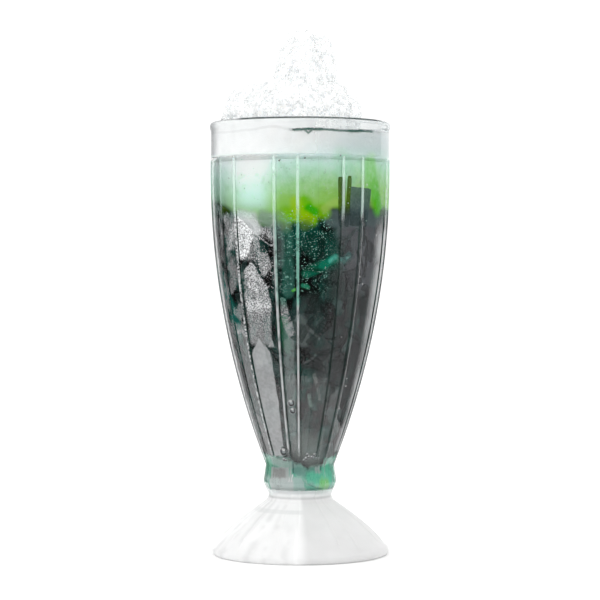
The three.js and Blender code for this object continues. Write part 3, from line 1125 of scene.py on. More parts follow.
VEIL = [
    # grey haze between the tongue and the ridge, and a pale piece below it
    Wedge(((-29.3, 144), (-18.7, 143), (-18.4, 136.3), (-29.6, 141)), (2.4, 1, 0.5, 1.6), 0.26),
    Wedge(
        ((-46, 151), (-33, 149), (-26.5, 142), (-30.5, 140), (-38, 143.5), (-46.5, 148.5)),
        (3, 3.4, 3, 1, 1, 1),
        0.36,
    ),
    Wedge(
        ((-29.5, 133.2), (-22.2, 131.9), (-19.7, 125.9), (-26, 122.1), (-30, 127.6)),
        (1, 1, 1, 1, 1),
        0.26,
    ),
    Wedge(((-59.5, 149.5), (-48, 147), (-48, 134), (-57, 134)), (2, 0.8, 2, 2), 0.20),
    # grey run between the second tongue and the smooth panel
    Wedge(((-43.3, 112), (-21.5, 112), (-23.5, 93), (-43, 93)), (5, 1, 2, 1.6), 0.22),
    # smooth pale panel with a ragged top, and the paler streak right of it: condensation and painted
    # reflection of the light in the wide panel
    Wedge(
        ((-45, 88), (-35.1, 96.2), (-30.9, 93.4), (-21.2, 92.6), (-22.4, 69), (-19, 44), (-48, 44)),
        (0.6, 0.6, 0.6, 0.8, 0.8, 1, 1),
        0.29,
    ),
    Wedge(((-27, 92), (-23.2, 96.6), (-21.2, 92)), (0.5, 0.5, 0.8), 0.26),
    Wedge(((-44, 89), (-35.1, 96.2), (-31, 93), (-26, 84), (-42, 80)), (0.6, 0.6, 2, 6, 1), 0.35),
    Spot((-9, 94), (-9, 48), 1.6, 0.6, 0.08),
    Spot((-54, 96), (-53, 46), 2.4, 2, 0.17),
    Spot((-78, 88), (-74, 50), 2.2, 3, 0.22),
]

# bare glass over the large bubbles and in dark gaps of the frost
WIPED = [
    Spot((-23.5, 46.4), (-23.5, 46), 1.9, 0.4, 1),
    Spot((-7.8, 68), (-7.2, 64.4), 1.1, 0.5, 0.9),
    Spot((-24.4, 144.4), (-21.4, 146), 0.8, 0.9, 0.9),
    Spot((-23.4, 139.4), (-20.4, 137), 0.5, 0.9, 0.7),
]


@dataclass(frozen=True)
class MistedGlass(Finish):
    """Clear pressed glass with a film of condensation that changes round and up the bowl; the film also
    carries painted highlights, reflections and shade, and the foot's painted light.
    """

    name: str = "misted_glass"
    ior: float = 1.5
    colour: Rgb = (0.985, 0.992, 0.99)

    def _bowl_mist(self, wall: WallField) -> Field:
        """Share of the bowl that is hidden by frost, veil, haze and fine drops; on the wide panel left of
        the middle the frost and veil also stand for painted reflection of the light.

        Args:
            wall: Fields of the wall.

        Returns:
            The share, 0 to 1.
        """
        canvas = wall.canvas
        fine = canvas.grain(0.5, 2).rise(0.42, 0.60)
        coarse = canvas.grain(1.5, 3).rise(0.35, 0.7)
        broken = canvas.grain(3, 4).rise(0.30, 0.55)
        frost = wall.most(FROST)
        frost = frost * (fine * 0.9 + 0.1 + frost * 0.35) * (broken * 0.35 + 0.65)
        veil = wall.most(VEIL) * (coarse * 0.14 + 0.92)
        veil = veil * (1 + (fine - 0.5) * wall.height.rise(92, 102))
        right = wall.bearing.rise(10, 40)
        body = wall.height.rise(42, 60) * wall.height.rise(148, 140)
        haze = body * (right * 0.03 + 0.003) * (fine + 0.5)
        torn = wall.bearing.within(-72, -48, 8) * wall.height.within(96, 150, 6)
        haze = haze + torn * canvas.grain(6, 4).rise(0.45, 0.6) * (fine * 0.5 + 0.5) * 0.22
        speck = wall.height.within(118, 146, 6) * wall.bearing.within(-30, 18, 8)
        speck = speck * canvas.cells(0.85).rise(0.38, 0.20) * canvas.grain(2.4, 3).rise(0.38, 0.58) * 0.5
        lower = wall.height.rise(115, 60) * wall.height.rise(38, 44) * 0.05
        lower = lower * (broken * 0.7 + 0.3) * (1 - right * 0.6)
        return (frost + veil + haze + speck + lower).held() * (1 - wall.most(WIPED))

    def _ridges(self, wall: WallField) -> tuple[Field, Field]:
        """Painted highlights along the ridges, strongest left of the middle, and painted shade on their
        dark right sides.

        Args:
            wall: Fields of the wall.

        Returns:
            The painted highlight lines and the painted shade beside them.
        """
        canvas = wall.canvas
        across, deep = (canvas.part(canvas.place, axis) for axis in range(2))
        turn = canvas.math("ARCTAN2", across, deep * -1) * math.degrees(1)
        pair = 360 / SHAPE.panel_pairs
        turn = canvas.math("MODULO", turn - SHAPE.first_ridge + 3600 + pair / 2, pair) - pair / 2
        first, second = turn, turn - SHAPE.wide_panel
        second = second + canvas.math("LESS_THAN", second, -pair / 2) * pair
        arc_scale = wall.radius * math.radians(1)
        near = canvas.math("LESS_THAN", abs(first), abs(second))
        away = (second + (first - second) * near) * arc_scale
        reach = wall.height.rise(42, 50) * wall.height.rise(173.9, 173)
        reach = reach * wall.bearing.rise(-66, -56)
        patchy = canvas.grain(5, 3).rise(0.25, 0.6) * 0.5 + 0.5
        dotted = canvas.grain(0.9, 2).rise(0.4, 0.6)
        low = wall.bearing.within(-10, 8, 3) * 0.32
        low = low + wall.bearing.within(-26, -12, 3) * 0.36 + 0.12
        low = low + wall.bearing.within(-52, -40, 4) * dotted * 0.55
        syrup = wall.height.rise(144, 152)
        strong = low + (0.46 - low) * syrup
        right = wall.bearing.rise(5, 20)
        wide = abs(away) - wall.height.rise(90, 140) * 0.2
        # painted highlight along each ridge
        line = wide.rise(0.68, 0.2) * patchy * strong * (1 - right * (1 - syrup) * 0.7)
        # painted shade beside each ridge: right of it on the left half, left of it on the right half
        beside = away - away * right * 2
        shade = beside.within(0.7, 1.05, 0.35) * patchy * (1 - syrup * 0.6)
        dark = wall.bearing.within(-50, -10, 8) * 0.35
        dark = dark + wall.bearing.within(20, 50, 6) * 0.5 + 0.2
        return line * reach, shade * reach * dark

    def _band_mist(self, wall: WallField) -> Field:
        """White bloom on the smooth band below the lip.

        Args:
            wall: Fields of the wall.

        Returns:
            The share that is hidden.
        """
        canvas = wall.canvas
        band = wall.height.within(174.6, 189, 0.8)
        band = band * (canvas.grain(8, 3) * 0.2 + 0.56) * (1 - wall.side.rise(-0.5, 0.3) * 0.65)
        return band * (1 - shore_shade_line(wall) * 0.85)

    def _edge_reflection(self, wall: WallField) -> Field:
        """Painted reflection: paler strips down both sides, where the wall is seen at a slant.

        Args:
            wall: Fields of the wall.

        Returns:
            The share that is hidden.
        """
        canvas = wall.canvas
        right = wall.side.rise(0.84, 0.98, 0.5) * (1 - wall.height.rise(140, 150) * 0.6)
        strip = wall.side.rise(-0.94, -0.985) * 0.22 + right * (1 - wall.side.rise(0.975, 0.995) * 0.5)
        cloud = canvas.grain(7, 4, (1, 1, 0.5)).rise(0.3, 0.65) * 0.45 + 0.65
        return strip * cloud * wall.height.within(46, 173, 1)

    def _foot_mist(self, wall: WallField) -> Field:
        """Even white bloom of the foot, thinner at the stem.

        Args:
            wall: Fields of the wall.

        Returns:
            The share that is hidden.
        """
        canvas = wall.canvas
        foot = wall.height.rise(27, 24.5) * (canvas.grain(14, 2) * 0.16 + 0.70)
        stem = wall.height.within(25, 28.6, 0.8) * 0.55
        return canvas.math("MAXIMUM", foot, stem)

    def _foot_painted_light(self, wall: WallField) -> Field:
        """Painted light on the foot: white on the left with faint painted reflections of its ribs, painted
        grey shade on the right, a painted highlight streak between.

        Args:
            wall: Fields of the wall.

        Returns:
            The colour.
        """
        canvas = wall.canvas
        # painted reflections of the foot's ribs, on the left half
        ribs = canvas.math("SINE", wall.bearing * math.radians(28)) * 0.5 + 0.5
        ribs = ribs * canvas.grain(9, 2).rise(0.4, 0.6) * wall.side.rise(-0.05, -0.2)
        tone = canvas.blend(srgb(250, 250, 250), srgb(238, 238, 238), ribs)
        curve = wall.height.within(19.8, 20.6, 0.7) * wall.bearing.within(-80, 4, 10) * 0.6
        tone = canvas.blend(tone, srgb(226, 227, 227), curve)
        shade = wall.side.rise(-0.02, 0.12) * (canvas.grain(12, 2) * 0.4 + 0.75)
        tone = canvas.blend(tone, srgb(228, 228, 228), shade.held())
        # painted highlight: a bright streak down the foot, left of the middle
        streak = (wall.side + 0.05).within(-0.012, 0.012, 0.02) * wall.height.rise(17, 12)
        return canvas.blend(tone, srgb(255, 255, 255), streak)

    def paint(self, canvas: Canvas) -> Field:
        """Glass under mist, with the slight unevenness of pressed glass; the film's tone carries painted
        light and shade.

        Args:
            canvas: Where the nodes go.

        Returns:
            The surface.
        """
        bent = WallField(canvas, wobble=0.7, size=4)
        plain = WallField(canvas)
        wave = canvas.bump(canvas.grain(7, 2), 0.25, 0.25)
        smear = canvas.grain(9, 3).rise(0.35, 0.75) * 0.05
        clear = canvas.shader(
            Base_Color=self.colour,
            Roughness=smear,
            IOR=self.ior,
            Transmission_Weight=1,
            Normal=wave,
        )
        drops = canvas.bump(canvas.grain(0.6, 2), 0.6, 0.2)
        tone = canvas.blend(srgb(226, 229, 230), srgb(250, 251, 252), canvas.grain(5, 2))
        top = plain.height.rise(172, 176)
        mint = plain.height.within(150, 172, 4) * 0.8
        speckled = plain.height.within(112, 147, 4) * plain.bearing.within(-14, 24, 4)
        # painted shade: a dark line along the top of the lip, at the front
        lip = plain.height.rise(188.9, 189.3) * plain.bearing.within(-38, 56, 14)
        line, shade = self._ridges(plain)
        # the band above the ledge is painted greyer on the right and darker at the far left as painted
        # shade; the foot takes its painted light, the lip and the ridges' sides take painted shade
        tone = canvas.coats(
            tone,
            (srgb(248, 250, 250), top),
            (srgb(204, 213, 215), plain.side.rise(0.1, 0.8) * top),
            (srgb(172, 174, 176), plain.side.rise(-0.88, -0.99) * top),
            (srgb(214, 244, 232), mint),
            (srgb(150, 226, 204), speckled * 0.9),
            (self._foot_painted_light(plain), plain.height.rise(30, 24)),
            (srgb(52, 62, 62), lip),
            (srgb(16, 46, 38), shade.rise(0, 0.1) * (1 - line.rise(0, 0.1))),
        )
        film = canvas.shader(Base_Color=tone, Roughness=0.8, Specular_IOR_Level=0.2, Normal=drops)
        # the share mixes condensation with the painted highlights, reflections and shade
        mist = self._bowl_mist(bent)
        parts = (line, shade, lip * 0.85, self._edge_reflection(plain))
        for part in (*parts, self._band_mist(plain), self._foot_mist(plain)):
            mist = canvas.math("MAXIMUM", mist, part)
        return canvas.mix_shaders(clear, film, mist.held())


@dataclass(frozen=True)
class Filling(Finish):
    """Liquor, syrup and the ice against the wall, in one run of colour."""

    name: str = "filling"
    roughness: float = 0.32
    wet: float = 0.0

    def paint(self, canvas: Canvas) -> Field:
        """Colour of the filling with fine ice grains, and a painted glow where light would pass through the
        syrup.

        Args:
            canvas: Where the nodes go.

        Returns:
            The surface.
        """
        wall = WallField(canvas, wobble=1, size=8)
        colour = filling_colour(wall)
        grains = canvas.grain(1.1, 3)
        cloud = canvas.grain(3.2, 4)
        above = wall.height.rise(152, 162)
        pale = above * (grains.rise(0.48, 0.68) * 0.14 + cloud.rise(0.46, 0.66) * 0.16)
        colour = canvas.blend(colour, srgb(240, 250, 248), pale)
        colour = canvas.blend(colour, seen(70, 130, 70), above * cloud.rise(0.5, 0.3) * 0.16)
        # painted glow: emission stands in for light passing through the syrup, on the left and toward the
        # top
        painted_glow = wall.side.rise(-0.12, -0.55) * wall.height.rise(148, 157) * wall.side.rise(-0.95, -0.6)
        painted_glow = painted_glow + wall.height.rise(160, 173) * 0.5
        return canvas.shader(
            Base_Color=colour,
            Emission_Color=canvas.blend((0, 0, 0), colour, painted_glow.held()),
            Emission_Strength=0.2,
            Roughness=canvas.grain(3) * 0.2 + self.roughness,
            Specular_IOR_Level=self.wet,
            Normal=canvas.bump(grains, 0.35, 0.4),
        )


@dataclass(frozen=True)
class Jelly(Finish):
    """Dark jelly that takes some of the colour of the liquor round it."""

    name: str = "grass_jelly"
    tinge: float = 0.5
    wet: float = 0.0

    def paint(self, canvas: Canvas) -> Field:
        """Piece tones, with the liquor's colour showing through.

        Args:
            canvas: Where the nodes go.

        Returns:
            The surface.
        """
        wall = WallField(canvas, wobble=1, size=8)
        tone = canvas.tone()
        own = canvas.ramp(
            tone + (canvas.grain(4, 3) - 0.5) * 0.35,
            [
                (0, seen(2, 4, 4)),
                (0.35, seen(8, 18, 18)),
                (0.6, seen(22, 40, 38)),
                (0.85, seen(44, 60, 58)),
                (1, seen(72, 88, 86)),
            ],
        )
        above = wall.height.rise(147, 153)
        standing = canvas.blend(seen(62, 84, 22), seen(74, 90, 90), tone.rise(0.5, 0.6))
        own = canvas.blend(own, standing, above * 0.97)
        deep = wall.bearing.within(-12, 24, 8) * wall.height.within(116, 142, 5)
        share = self.tinge * (1 - above * 0.8) + wall.height.rise(45, 41) * 0.47 + deep * 0.38
        colour = canvas.blend(own, filling_colour(wall), share)
        # pale and dark flecks over the jelly, from one noise
        flecks = canvas.grain(0.7, 2)
        colour = canvas.blend(colour, seen(150, 156, 156), flecks.rise(0.52, 0.72) * 0.12)
        colour = canvas.blend(colour, seen(6, 8, 8), flecks.rise(0.48, 0.28) * 0.3)
        return canvas.shader(
            Base_Color=colour,
            Roughness=canvas.grain(2) * 0.12 + 0.12,
            Specular_IOR_Level=self.wet,
            Normal=canvas.bump(canvas.grain(2.4, 3), 0.3, 0.5),
        )


@dataclass(frozen=True)
class ShavedIce(Finish):
    """Packed wet ice: white and granular, with painted faint grey shade in its hollows and a faint painted
    glow.
    """

    name: str = "shaved_ice"

    def paint(self, canvas: Canvas) -> Field:
        """White with clear grains, and the syrup's colour below the rim.

        Args:
            canvas: Where the nodes go.

        Returns:
            The surface.
        """
        wall = WallField(canvas, wobble=1, size=8)
        cells = canvas.cells(1.6)
        fine = canvas.grain(0.9, 4)
        white = canvas.blend(srgb(246, 250, 250), srgb(254, 255, 255), fine.rise(0.3, 0.6))
        # painted shade: faint grey along the cell edges between the grains
        white = canvas.blend(white, srgb(226, 232, 233), cells.rise(0.8, 1) * 0.25)
        near_wall = wall.radius.rise(36.2, 36.8) * wall.height.rise(188, 187)
        colour = canvas.blend(white, filling_colour(wall), near_wall)
        line = shore_shade_line(WallField(canvas)) * wall.radius.rise(35.8, 36.6)
        # painted shade: dark line where the ice meets the wall, with meltwater in it
        colour = canvas.blend(colour, seen(40, 74, 64), line)
        return canvas.shader(
            Base_Color=colour,
            Roughness=fine * 0.3 + 0.25,
            Subsurface_Weight=0.25,
            Subsurface_Radius=(0.004, 0.0045, 0.005),
            Subsurface_Scale=0.6,
            # painted glow: a weak emission lifts the ice's shade
            Emission_Color=colour,
            Emission_Strength=0.05,
            Normal=canvas.bump(fine + cells, 0.5, 0.4),
        )


@dataclass(frozen=True)
class IceGrain(Finish):
    """Loose ice grains: nearly white, wet and slightly clear."""

    name: str = "ice_grain"
    clearness: float = 0.25

    def paint(self, canvas: Canvas) -> Field:
        """White to faintly grey from grain to grain, with painted grey shade toward each grain's edges as
        seen, and a faint painted glow.

        Args:
            canvas: Where the nodes go.

        Returns:
            The surface.
        """
        tone = canvas.tone()
        colour = canvas.blend(srgb(238, 240, 241), srgb(254, 255, 255), tone.rise(0, 0.25))
        # painted shade: grains turn grey toward their edges by the angle of view
        edge = canvas.facing()
        colour = canvas.blend(colour, srgb(184, 187, 189), edge.rise(0.72, 1) * 0.42)
        return canvas.shader(
            Base_Color=colour,
            Roughness=canvas.grain(1) * 0.25 + 0.08,
            IOR=1.31,
            Transmission_Weight=self.clearness,
            # painted glow: a weak emission brightens the grains
            Emission_Color=colour,
            Emission_Strength=0.03,
            Normal=canvas.bump(canvas.grain(0.7, 3), 0.4, 0.2),
        )


@dataclass(frozen=True)
class TrappedAir(Finish):
    """Bubble against the wall: a painted highlight above a dark ring."""

    name: str = "trapped_air"
    ring: Rgb = srgb(14, 20, 22)
    body: Rgb = srgb(140, 148, 150)
    rim: Rgb = srgb(214, 222, 222)
    # direction in which the painted highlight sits
    eye: Point = (-0.22, -0.88, 0.42)

    def paint(self, canvas: Canvas) -> Field:
        """Painted reflection: rings of tone by the angle of view, with painted shade below, a painted
        highlight and a faint painted glow.

        Args:
            canvas: Where the nodes go.

        Returns:
            The surface.
        """
        facing = canvas.facing()
        rings = canvas.ramp(
            facing + (canvas.grain(0.6) - 0.5) * 0.08,
            [
                (0, self.body),
                (0.05, self.body),
                (0.14, self.ring),
                (0.33, self.ring),
                (0.46, self.rim),
                (1, self.rim),
            ],
        )
        normal = canvas.node("ShaderNodeNewGeometry", output="Normal")
        up = canvas.part(normal, 2)
        # painted shade on the lower side
        colour = canvas.blend(rings, self.ring, up.rise(-0.1, -0.4) * facing.rise(0.5, 0.4) * 0.8)
        toward = canvas.measure("DOT_PRODUCT", normal, self.eye)
        # painted highlight where the normal points along that direction
        colour = canvas.blend(colour, srgb(255, 255, 255), toward.rise(0.92, 0.96))
        return canvas.shader(
            Base_Color=colour,
            Roughness=canvas.grain(1) * 0.05 + 0.1,
            # painted glow
            Emission_Color=colour,
            Emission_Strength=0.12,
        )


PALE_AIR = TrappedAir(
    "pale_air", ring=srgb(150, 196, 176), body=srgb(222, 244, 236), rim=srgb(190, 226, 210)
)


@dataclass(frozen=True)
class WaterDrop(Finish):
    """Drop of condensation on the outside of the glass."""

    name: str = "water_drop"

    def paint(self, canvas: Canvas) -> Field:
        """Clear water.

        Args:
            canvas: Where the nodes go.

        Returns:
            The surface.
        """
        return canvas.shader(
            Base_Color=(0.99, 1, 1),
            Roughness=canvas.grain(1) * 0.04,
            IOR=1.33,
            Transmission_Weight=1,
            Normal=canvas.bump(canvas.grain(1), 0.1, 0.1),
        )


@dataclass(frozen=True)
class PaleFloor(Finish):
    """Plain pale table top."""

    name: str = "pale_floor"

    def paint(self, canvas: Canvas) -> Field:
        """Nearly white, with a faint grain.

        Args:
            canvas: Where the nodes go.

        Returns:
            The surface.
        """
        speck = canvas.grain(3, 3)
        colour = canvas.blend(srgb(243, 243, 243), srgb(249, 249, 249), speck)
        return canvas.shader(
            Base_Color=colour,
            Roughness=speck * 0.1 + 0.7,
            Specular_IOR_Level=0.1,
            Normal=canvas.bump(speck, 0.05, 0.1),
        )


# ---- Meshes ----


class Shell:
    """Points and faces of a mesh, gathered before Blender gets them."""

    def __init__(self) -> None:
        """Start empty."""
        self.points: list[Point] = []
        self.faces: list[tuple[int, ...]] = []
        self.tones: list[float] = []

    def add(self, points: Iterable[Point], faces: Iterable[tuple[int, ...]], tone: float = 0.5) -> None:
        """Add a loose body with a tone of its own.

        Args:
            points: Its points.
            faces: Its faces, by the numbers of its own points.
            tone: Its tone, 0 to 1.
        """
        start = len(self.points)
        new_points = list(points)
        self.points += new_points
        self.tones += [tone] * len(new_points)
        self.faces += [tuple(start + index for index in face) for face in faces]

    def add_turned(self, rings: Sequence[Sequence[Point]], first: Point, last: Point) -> None:
        """Add a closed body of rings between two end points.

        Args:
            rings: Rings of equal count, in order.
            first: End point before the first ring.
            last: End point after the last ring.
        """
        count = len(rings[0])
        points = [first, *(point for ring in rings for point in ring), last]
        faces: list[tuple[int, ...]] = []
        for column in range(count):
            after = (column + 1) % count
            faces.append((0, 1 + after, 1 + column))
            for row in range(len(rings) - 1):
                low, high = 1 + row * count, 1 + (row + 1) * count
                faces.append((low + column, low + after, high + after, high + column))
            top = 1 + (len(rings) - 1) * count
            faces.append((top + column, top + after, len(points) - 1))
        self.add(points, faces)

    def build(self, name: str, finish: Finish, smooth: bool = True) -> bpy.types.Object:
        """Make the object.

        Args:
            name: Name of the object and its mesh.
            finish: Look of its surface.
            smooth: Whether it is shaded smooth.

        Returns:
            The object.
        """
        mesh = bpy.data.meshes.new(name)
        mesh.from_pydata(self.points, [], self.faces)
        mesh.polygons.foreach_set("use_smooth", [smooth] * len(mesh.polygons))
        tones = mesh.attributes.new(TONE, "FLOAT", "POINT")
        tones.data.foreach_set("value", self.tones)
        mesh.materials.append(finish.material())
        mesh.update()
        made = bpy.data.objects.new(name, mesh)
        bpy.context.scene.collection.objects.link(made)
        return made


@dataclass(frozen=True)
class SoftBlock:
    """Rounded block as a grid on a cube, ready to be given a size and bent to the wall."""

    cuts: int = 6

    def faces_and_corners(self) -> tuple[list[Vector], list[tuple[int, ...]]]:
        """Unit points and faces of the grid.

        Returns:
            The points and the faces.
        """
        steps = self.cuts
        index: dict[tuple[int, int, int], int] = {}
        points: list[Vector] = []
        faces: list[tuple[int, ...]] = []

        def point(key: tuple[int, int, int]) -> int:
            """Number of the point at a key, which is made if it is new."""
            if key not in index:
                index[key] = len(points)
                points.append(Vector([2.0 * part / steps - 1.0 for part in key]))
            return index[key]

        for axis in range(3):
            for side in (0, steps):
                for first in range(steps):
                    for second in range(steps):
                        keys = []
                        for a, b in ((0, 0), (1, 0), (1, 1), (0, 1)):
                            key = [0, 0, 0]
                            key[axis] = side
                            key[(axis + 1) % 3] = first + a
                            key[(axis + 2) % 3] = second + b
                            keys.append(point((key[0], key[1], key[2])))
                        faces.append(tuple(keys if side else reversed(keys)))
        return points, faces

    @staticmethod
    def rounded(unit: Vector, half: Vector, bend: float) -> Vector:
        """Point of the block of a half size with edges rounded by bend.

        Args:
            unit: Point of the unit grid.
            half: Half the size of the block.
            bend: Radius of its edges.

        Returns:
            The point.
        """
        eased = Vector([math.copysign(abs(part) ** 0.6, part) for part in unit])
        full = Vector([eased[axis] * half[axis] for axis in range(3)])
        core = Vector([clamp(full[axis], bend - half[axis], half[axis] - bend) for axis in range(3)])
        away = full - core
        if away.length < 1e-6:
            return full
        return core + away.normalized() * min(away.length, bend)


class Piece(ABC):
    """Visible piece of the part."""

    name: str
    node: Optional[Node]
    slot: Slot

    @abstractmethod
    def build(self) -> bpy.types.Object:
        """Make the piece's object."""

    def install(self) -> bpy.types.Object:
        """Build the piece, set it on the root body and report it.

        Returns:
            The installed object.
        """
        made = self.build()
        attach(made, "root")
        if self.node is not None:
            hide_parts(self.node.value)
        log.info("%s: %d faces", made.name, len(made.data.polygons))
        return made


@dataclass
class GlassBody(Piece):
    """The panelled glass with its lip, ledge, knuckle and bell foot."""

    shape: GlassShape = SHAPE
    name: str = "glass_body"
    node: Optional[Node] = Node.GLASS
    slot: Slot = Slot.GLASS

    def build(self) -> bpy.types.Object:
        """Turn the profile, pressing the panels and raising the ridges.

        Returns:
            The object.
        """
        shape = self.shape
        columns = shape.bearings()
        rings = []
        for radius, height, share in shape.outside() + self._inside():
            ring = []
            for bearing in columns:
                relief = shape.relief(bearing, radius, share) if share else 0.0
                ring.append(polar(radius + relief, bearing, height))
            rings.append(ring)
        shell = Shell()
        shell.add_turned(rings, (0, 0, shape.hollow_height * MM), (0, 0, shape.cavity_floor * MM))
        return shell.build(self.name, MistedGlass())

    def _inside(self) -> Profile:
        """Inner wall from the lip down.

        Returns:
            The profile.
        """
        shape = self.shape
        inner = shape.cavity_radius(shape.height)
        top = [(inner, shape.height - shape.lip_drop - drop, 0.0) for drop in (2.0, 5.0, 9.0, 12.5)]
        return top + shape.inside()


@dataclass
class Plug(Piece):
    """Filling that reaches just into the wall between two heights."""

    name: str
    slot: Slot
    node: Optional[Node]
    low: Optional[float]
    high: float
    reach: float = 0.15
    columns: int = 144
    swell: float = 1.2
    swell_scale: float = 90.0
    crown: float = 0.3

    def build(self) -> bpy.types.Object:
        """Turn the cavity's profile, grown into the wall, with a slightly uneven top.

        Returns:
            The object.
        """
        profile = [
            (radius, height)
            for radius, height, _ in reversed(SHAPE.inside(self.reach, 90))
            if height < self.high - 0.4 and (self.low is None or height > self.low)
        ]
        if self.low is not None:
            profile.insert(0, (SHAPE.cavity_radius(self.low) + self.reach, self.low))
        edge = SHAPE.cavity_radius(self.high) + self.reach
        profile += [(edge, self.high), (edge - 0.6, self.high + self.crown)]
        profile.append((edge * 0.6, self.high + self.crown))
        rings = []
        for radius, height in profile:
            ring = []
            for column in range(self.columns):
                bearing = 360.0 * column / self.columns
                lift = 0.0
                if height >= self.high - 0.01:
                    place = Vector(polar(radius, bearing, height)) * self.swell_scale
                    lift = self.swell * noise.noise(place)
                ring.append(polar(radius, bearing, height + lift))
            rings.append(ring)
        bottom = profile[0][1]
        shell = Shell()
        shell.add_turned(rings, (0, 0, bottom * MM), (0, 0, (self.high + self.crown) * MM))
        return shell.build(self.name, Filling())


@dataclass(frozen=True)
class WallPiece:
    """One piece of jelly against the wall."""

    bearing: float
    height: float
    width: float
    rise: float
    lean: float
    depth: float = 5.2
    bend: float = 0.9
    curl: float = 0.0
    taper: float = 0.0
    tone: float = 0.3
    reach: float = 0.42


@dataclass
class JellyPieces(Piece):
    """Cubes and sticks of jelly, pressed flat against the wall."""

    name: str = "jelly_cubes"
    node: Optional[Node] = Node.JELLY
    slot: Slot = Slot.JELLY
    seed: int = 11
    block: SoftBlock = SoftBlock()
    row_pitch: float = 12.4
    piece_pitch: float = 15.6
    first_row: float = 35.5
    rows: int = 9
    cube: Pair = (6.8, 10.0)
    stick: Pair = (2.8, 4.0)
    stick_length: Pair = (14.0, 21.0)
    stick_share: float = 0.3
    stick_lean: float = 150.0
    cube_lean: float = 60.0
    taper: float = 0.35
    reaches: Pair = (0.3, 0.6)

    # bearing, low, high, width, lean and tone, and for some taper, bend and reach
    STANDING: ClassVar[tuple[tuple[float, ...], ...]] = (
        (43.6, 142, 162, 14.4, 3, 0.62, 0.2, 2.6, 0.42),
        (28.5, 143, 165, 3.4, -2, 0.5),
        (33.4, 143, 165.5, 2.8, 3, 0.5),
        (8, 142, 149, 8.6, 14, 0.4, 0.0, 0.9, -0.8),
        (74, 142, 152, 6.4, -12, 0.5),
        (-62, 142, 152.5, 8.4, 24, 0.45),
        (112, 142, 158, 7.6, 10, 0.5),
        (150, 142, 153, 8.8, -15, 0.5),
        (176, 142, 163, 3, 6, 0.4),
        (207, 142, 156, 8.2, 18, 0.5),
        (251, 142, 159, 6.8, -7, 0.5),
    )

    def pieces(self) -> list[WallPiece]:
        """Pieces in rows, as in the solid heap, and those that stand up into the syrup.

        Returns:
            The pieces.
        """
        draw = Draw(self.seed)
        tones = random.Random(self.seed)
        found = []
        for row in range(self.rows):
            row_height = self.first_row + row * self.row_pitch
            count = round(2 * math.pi * SHAPE.cavity_radius(row_height) / self.piece_pitch)
            for place in range(count):
                bearing = (place + 0.5 * (row % 2) + 0.5 * draw()) * 360.0 / count
                height = row_height + (draw() - 0.5) * 3
                is_stick = draw() < self.stick_share and row_height > SHAPE.neck_height + 8
                side = self.stick if is_stick else self.cube
                width = lerp(*side, draw())
                rise = lerp(*(self.stick_length if is_stick else self.cube), draw())
                lean = (draw() - 0.5) * (self.stick_lean if is_stick else self.cube_lean)
                taper, tone = tones.uniform(-self.taper, self.taper), tones.random() ** 1.5
                reach = tones.uniform(*self.reaches)
                shape = {"taper": taper, "tone": tone, "reach": reach}
                found.append(WallPiece(bearing, height, width, rise, lean, **shape))
        for bearing, low, high, width, lean, tone, *rest in self.STANDING:
            taper, bend, reach = rest or (0.0, 0.9, 0.42)
            middle, rise = (low + high) / 2, high - low
            shape = {"bend": bend, "taper": taper, "tone": tone, "reach": reach}
            found.append(WallPiece(bearing, middle, width, rise, lean, **shape))
        return found

    def build(self) -> bpy.types.Object:
        """Bend every piece to the wall.

        Returns:
            The object.
        """
        units, faces = self.block.faces_and_corners()
        shell = Shell()
        for piece in self.pieces():
            shell.add(self._bent(piece, units), faces, piece.tone)
        return shell.build(self.name, Jelly())

    @staticmethod
    def _bent(piece: WallPiece, units: Sequence[Vector]) -> list[Point]:
        """Points of one piece, laid along the wall.

        Args:
            piece: The piece to lay.
            units: Points of the unit block.

        Returns:
            The points in metres.
        """
        half = Vector((piece.width / 2, piece.depth / 2, piece.rise / 2))
        bend = min(piece.bend, half.x * 0.8, half.y * 0.9, half.z * 0.8)
        turn = math.radians(piece.lean)
        points = []
        for unit in units:
            local = SoftBlock.rounded(unit, half, bend)
            along = local.z / half.z
            across = local.x * (1.0 + piece.taper * along) + piece.curl * along * along
            side = across * math.cos(turn) + local.z * math.sin(turn)
            up = local.z * math.cos(turn) - across * math.sin(turn)
            height = max(piece.height + up, SHAPE.cavity_floor + 0.3)
            inner = SHAPE.cavity_radius(max(height, SHAPE.cavity_floor + SHAPE.corner))
            radius = inner + piece.reach - (half.y + local.y)
            bearing = piece.bearing + math.degrees(side / inner)
            points.append(polar(max(radius, 0.5), bearing, height))
        return points


@dataclass
class JellyShreds(JellyPieces):
    """Thin curled shreds of jelly between the cubes."""

    name: str = "jelly_shreds"
    seed: int = 23
    count: int = 210
    heights: Pair = (50.0, 143.0)
    widths: Pair = (1.2, 3.0)
    lengths: Pair = (6.0, 16.0)
    lean_spread: float = 38.0
    curl: float = 3.0
    taper: float = 0.5
    reaches: Pair = (0.35, 0.7)

    def pieces(self) -> list[WallPiece]:
        """Shreds spread evenly over the wall below the syrup.

        Returns:
            The shreds.
        """
        draw = random.Random(self.seed)
        found = []
        for _ in range(self.count):
            height = lerp(*self.heights, draw.random() ** 0.8)
            found.append(
                WallPiece(
                    bearing=draw.uniform(-180.0, 180.0),
                    height=height,
                    width=draw.uniform(*self.widths),
                    rise=draw.uniform(*self.lengths),
                    lean=draw.gauss(0.0, self.lean_spread),
                    depth=2.4,
                    bend=0.6,
                    curl=draw.uniform(-self.curl, self.curl),
                    taper=draw.uniform(-self.taper, self.taper),
                    tone=draw.random() ** 1.2,
                    reach=draw.uniform(*self.reaches),
                )
            )
        return found


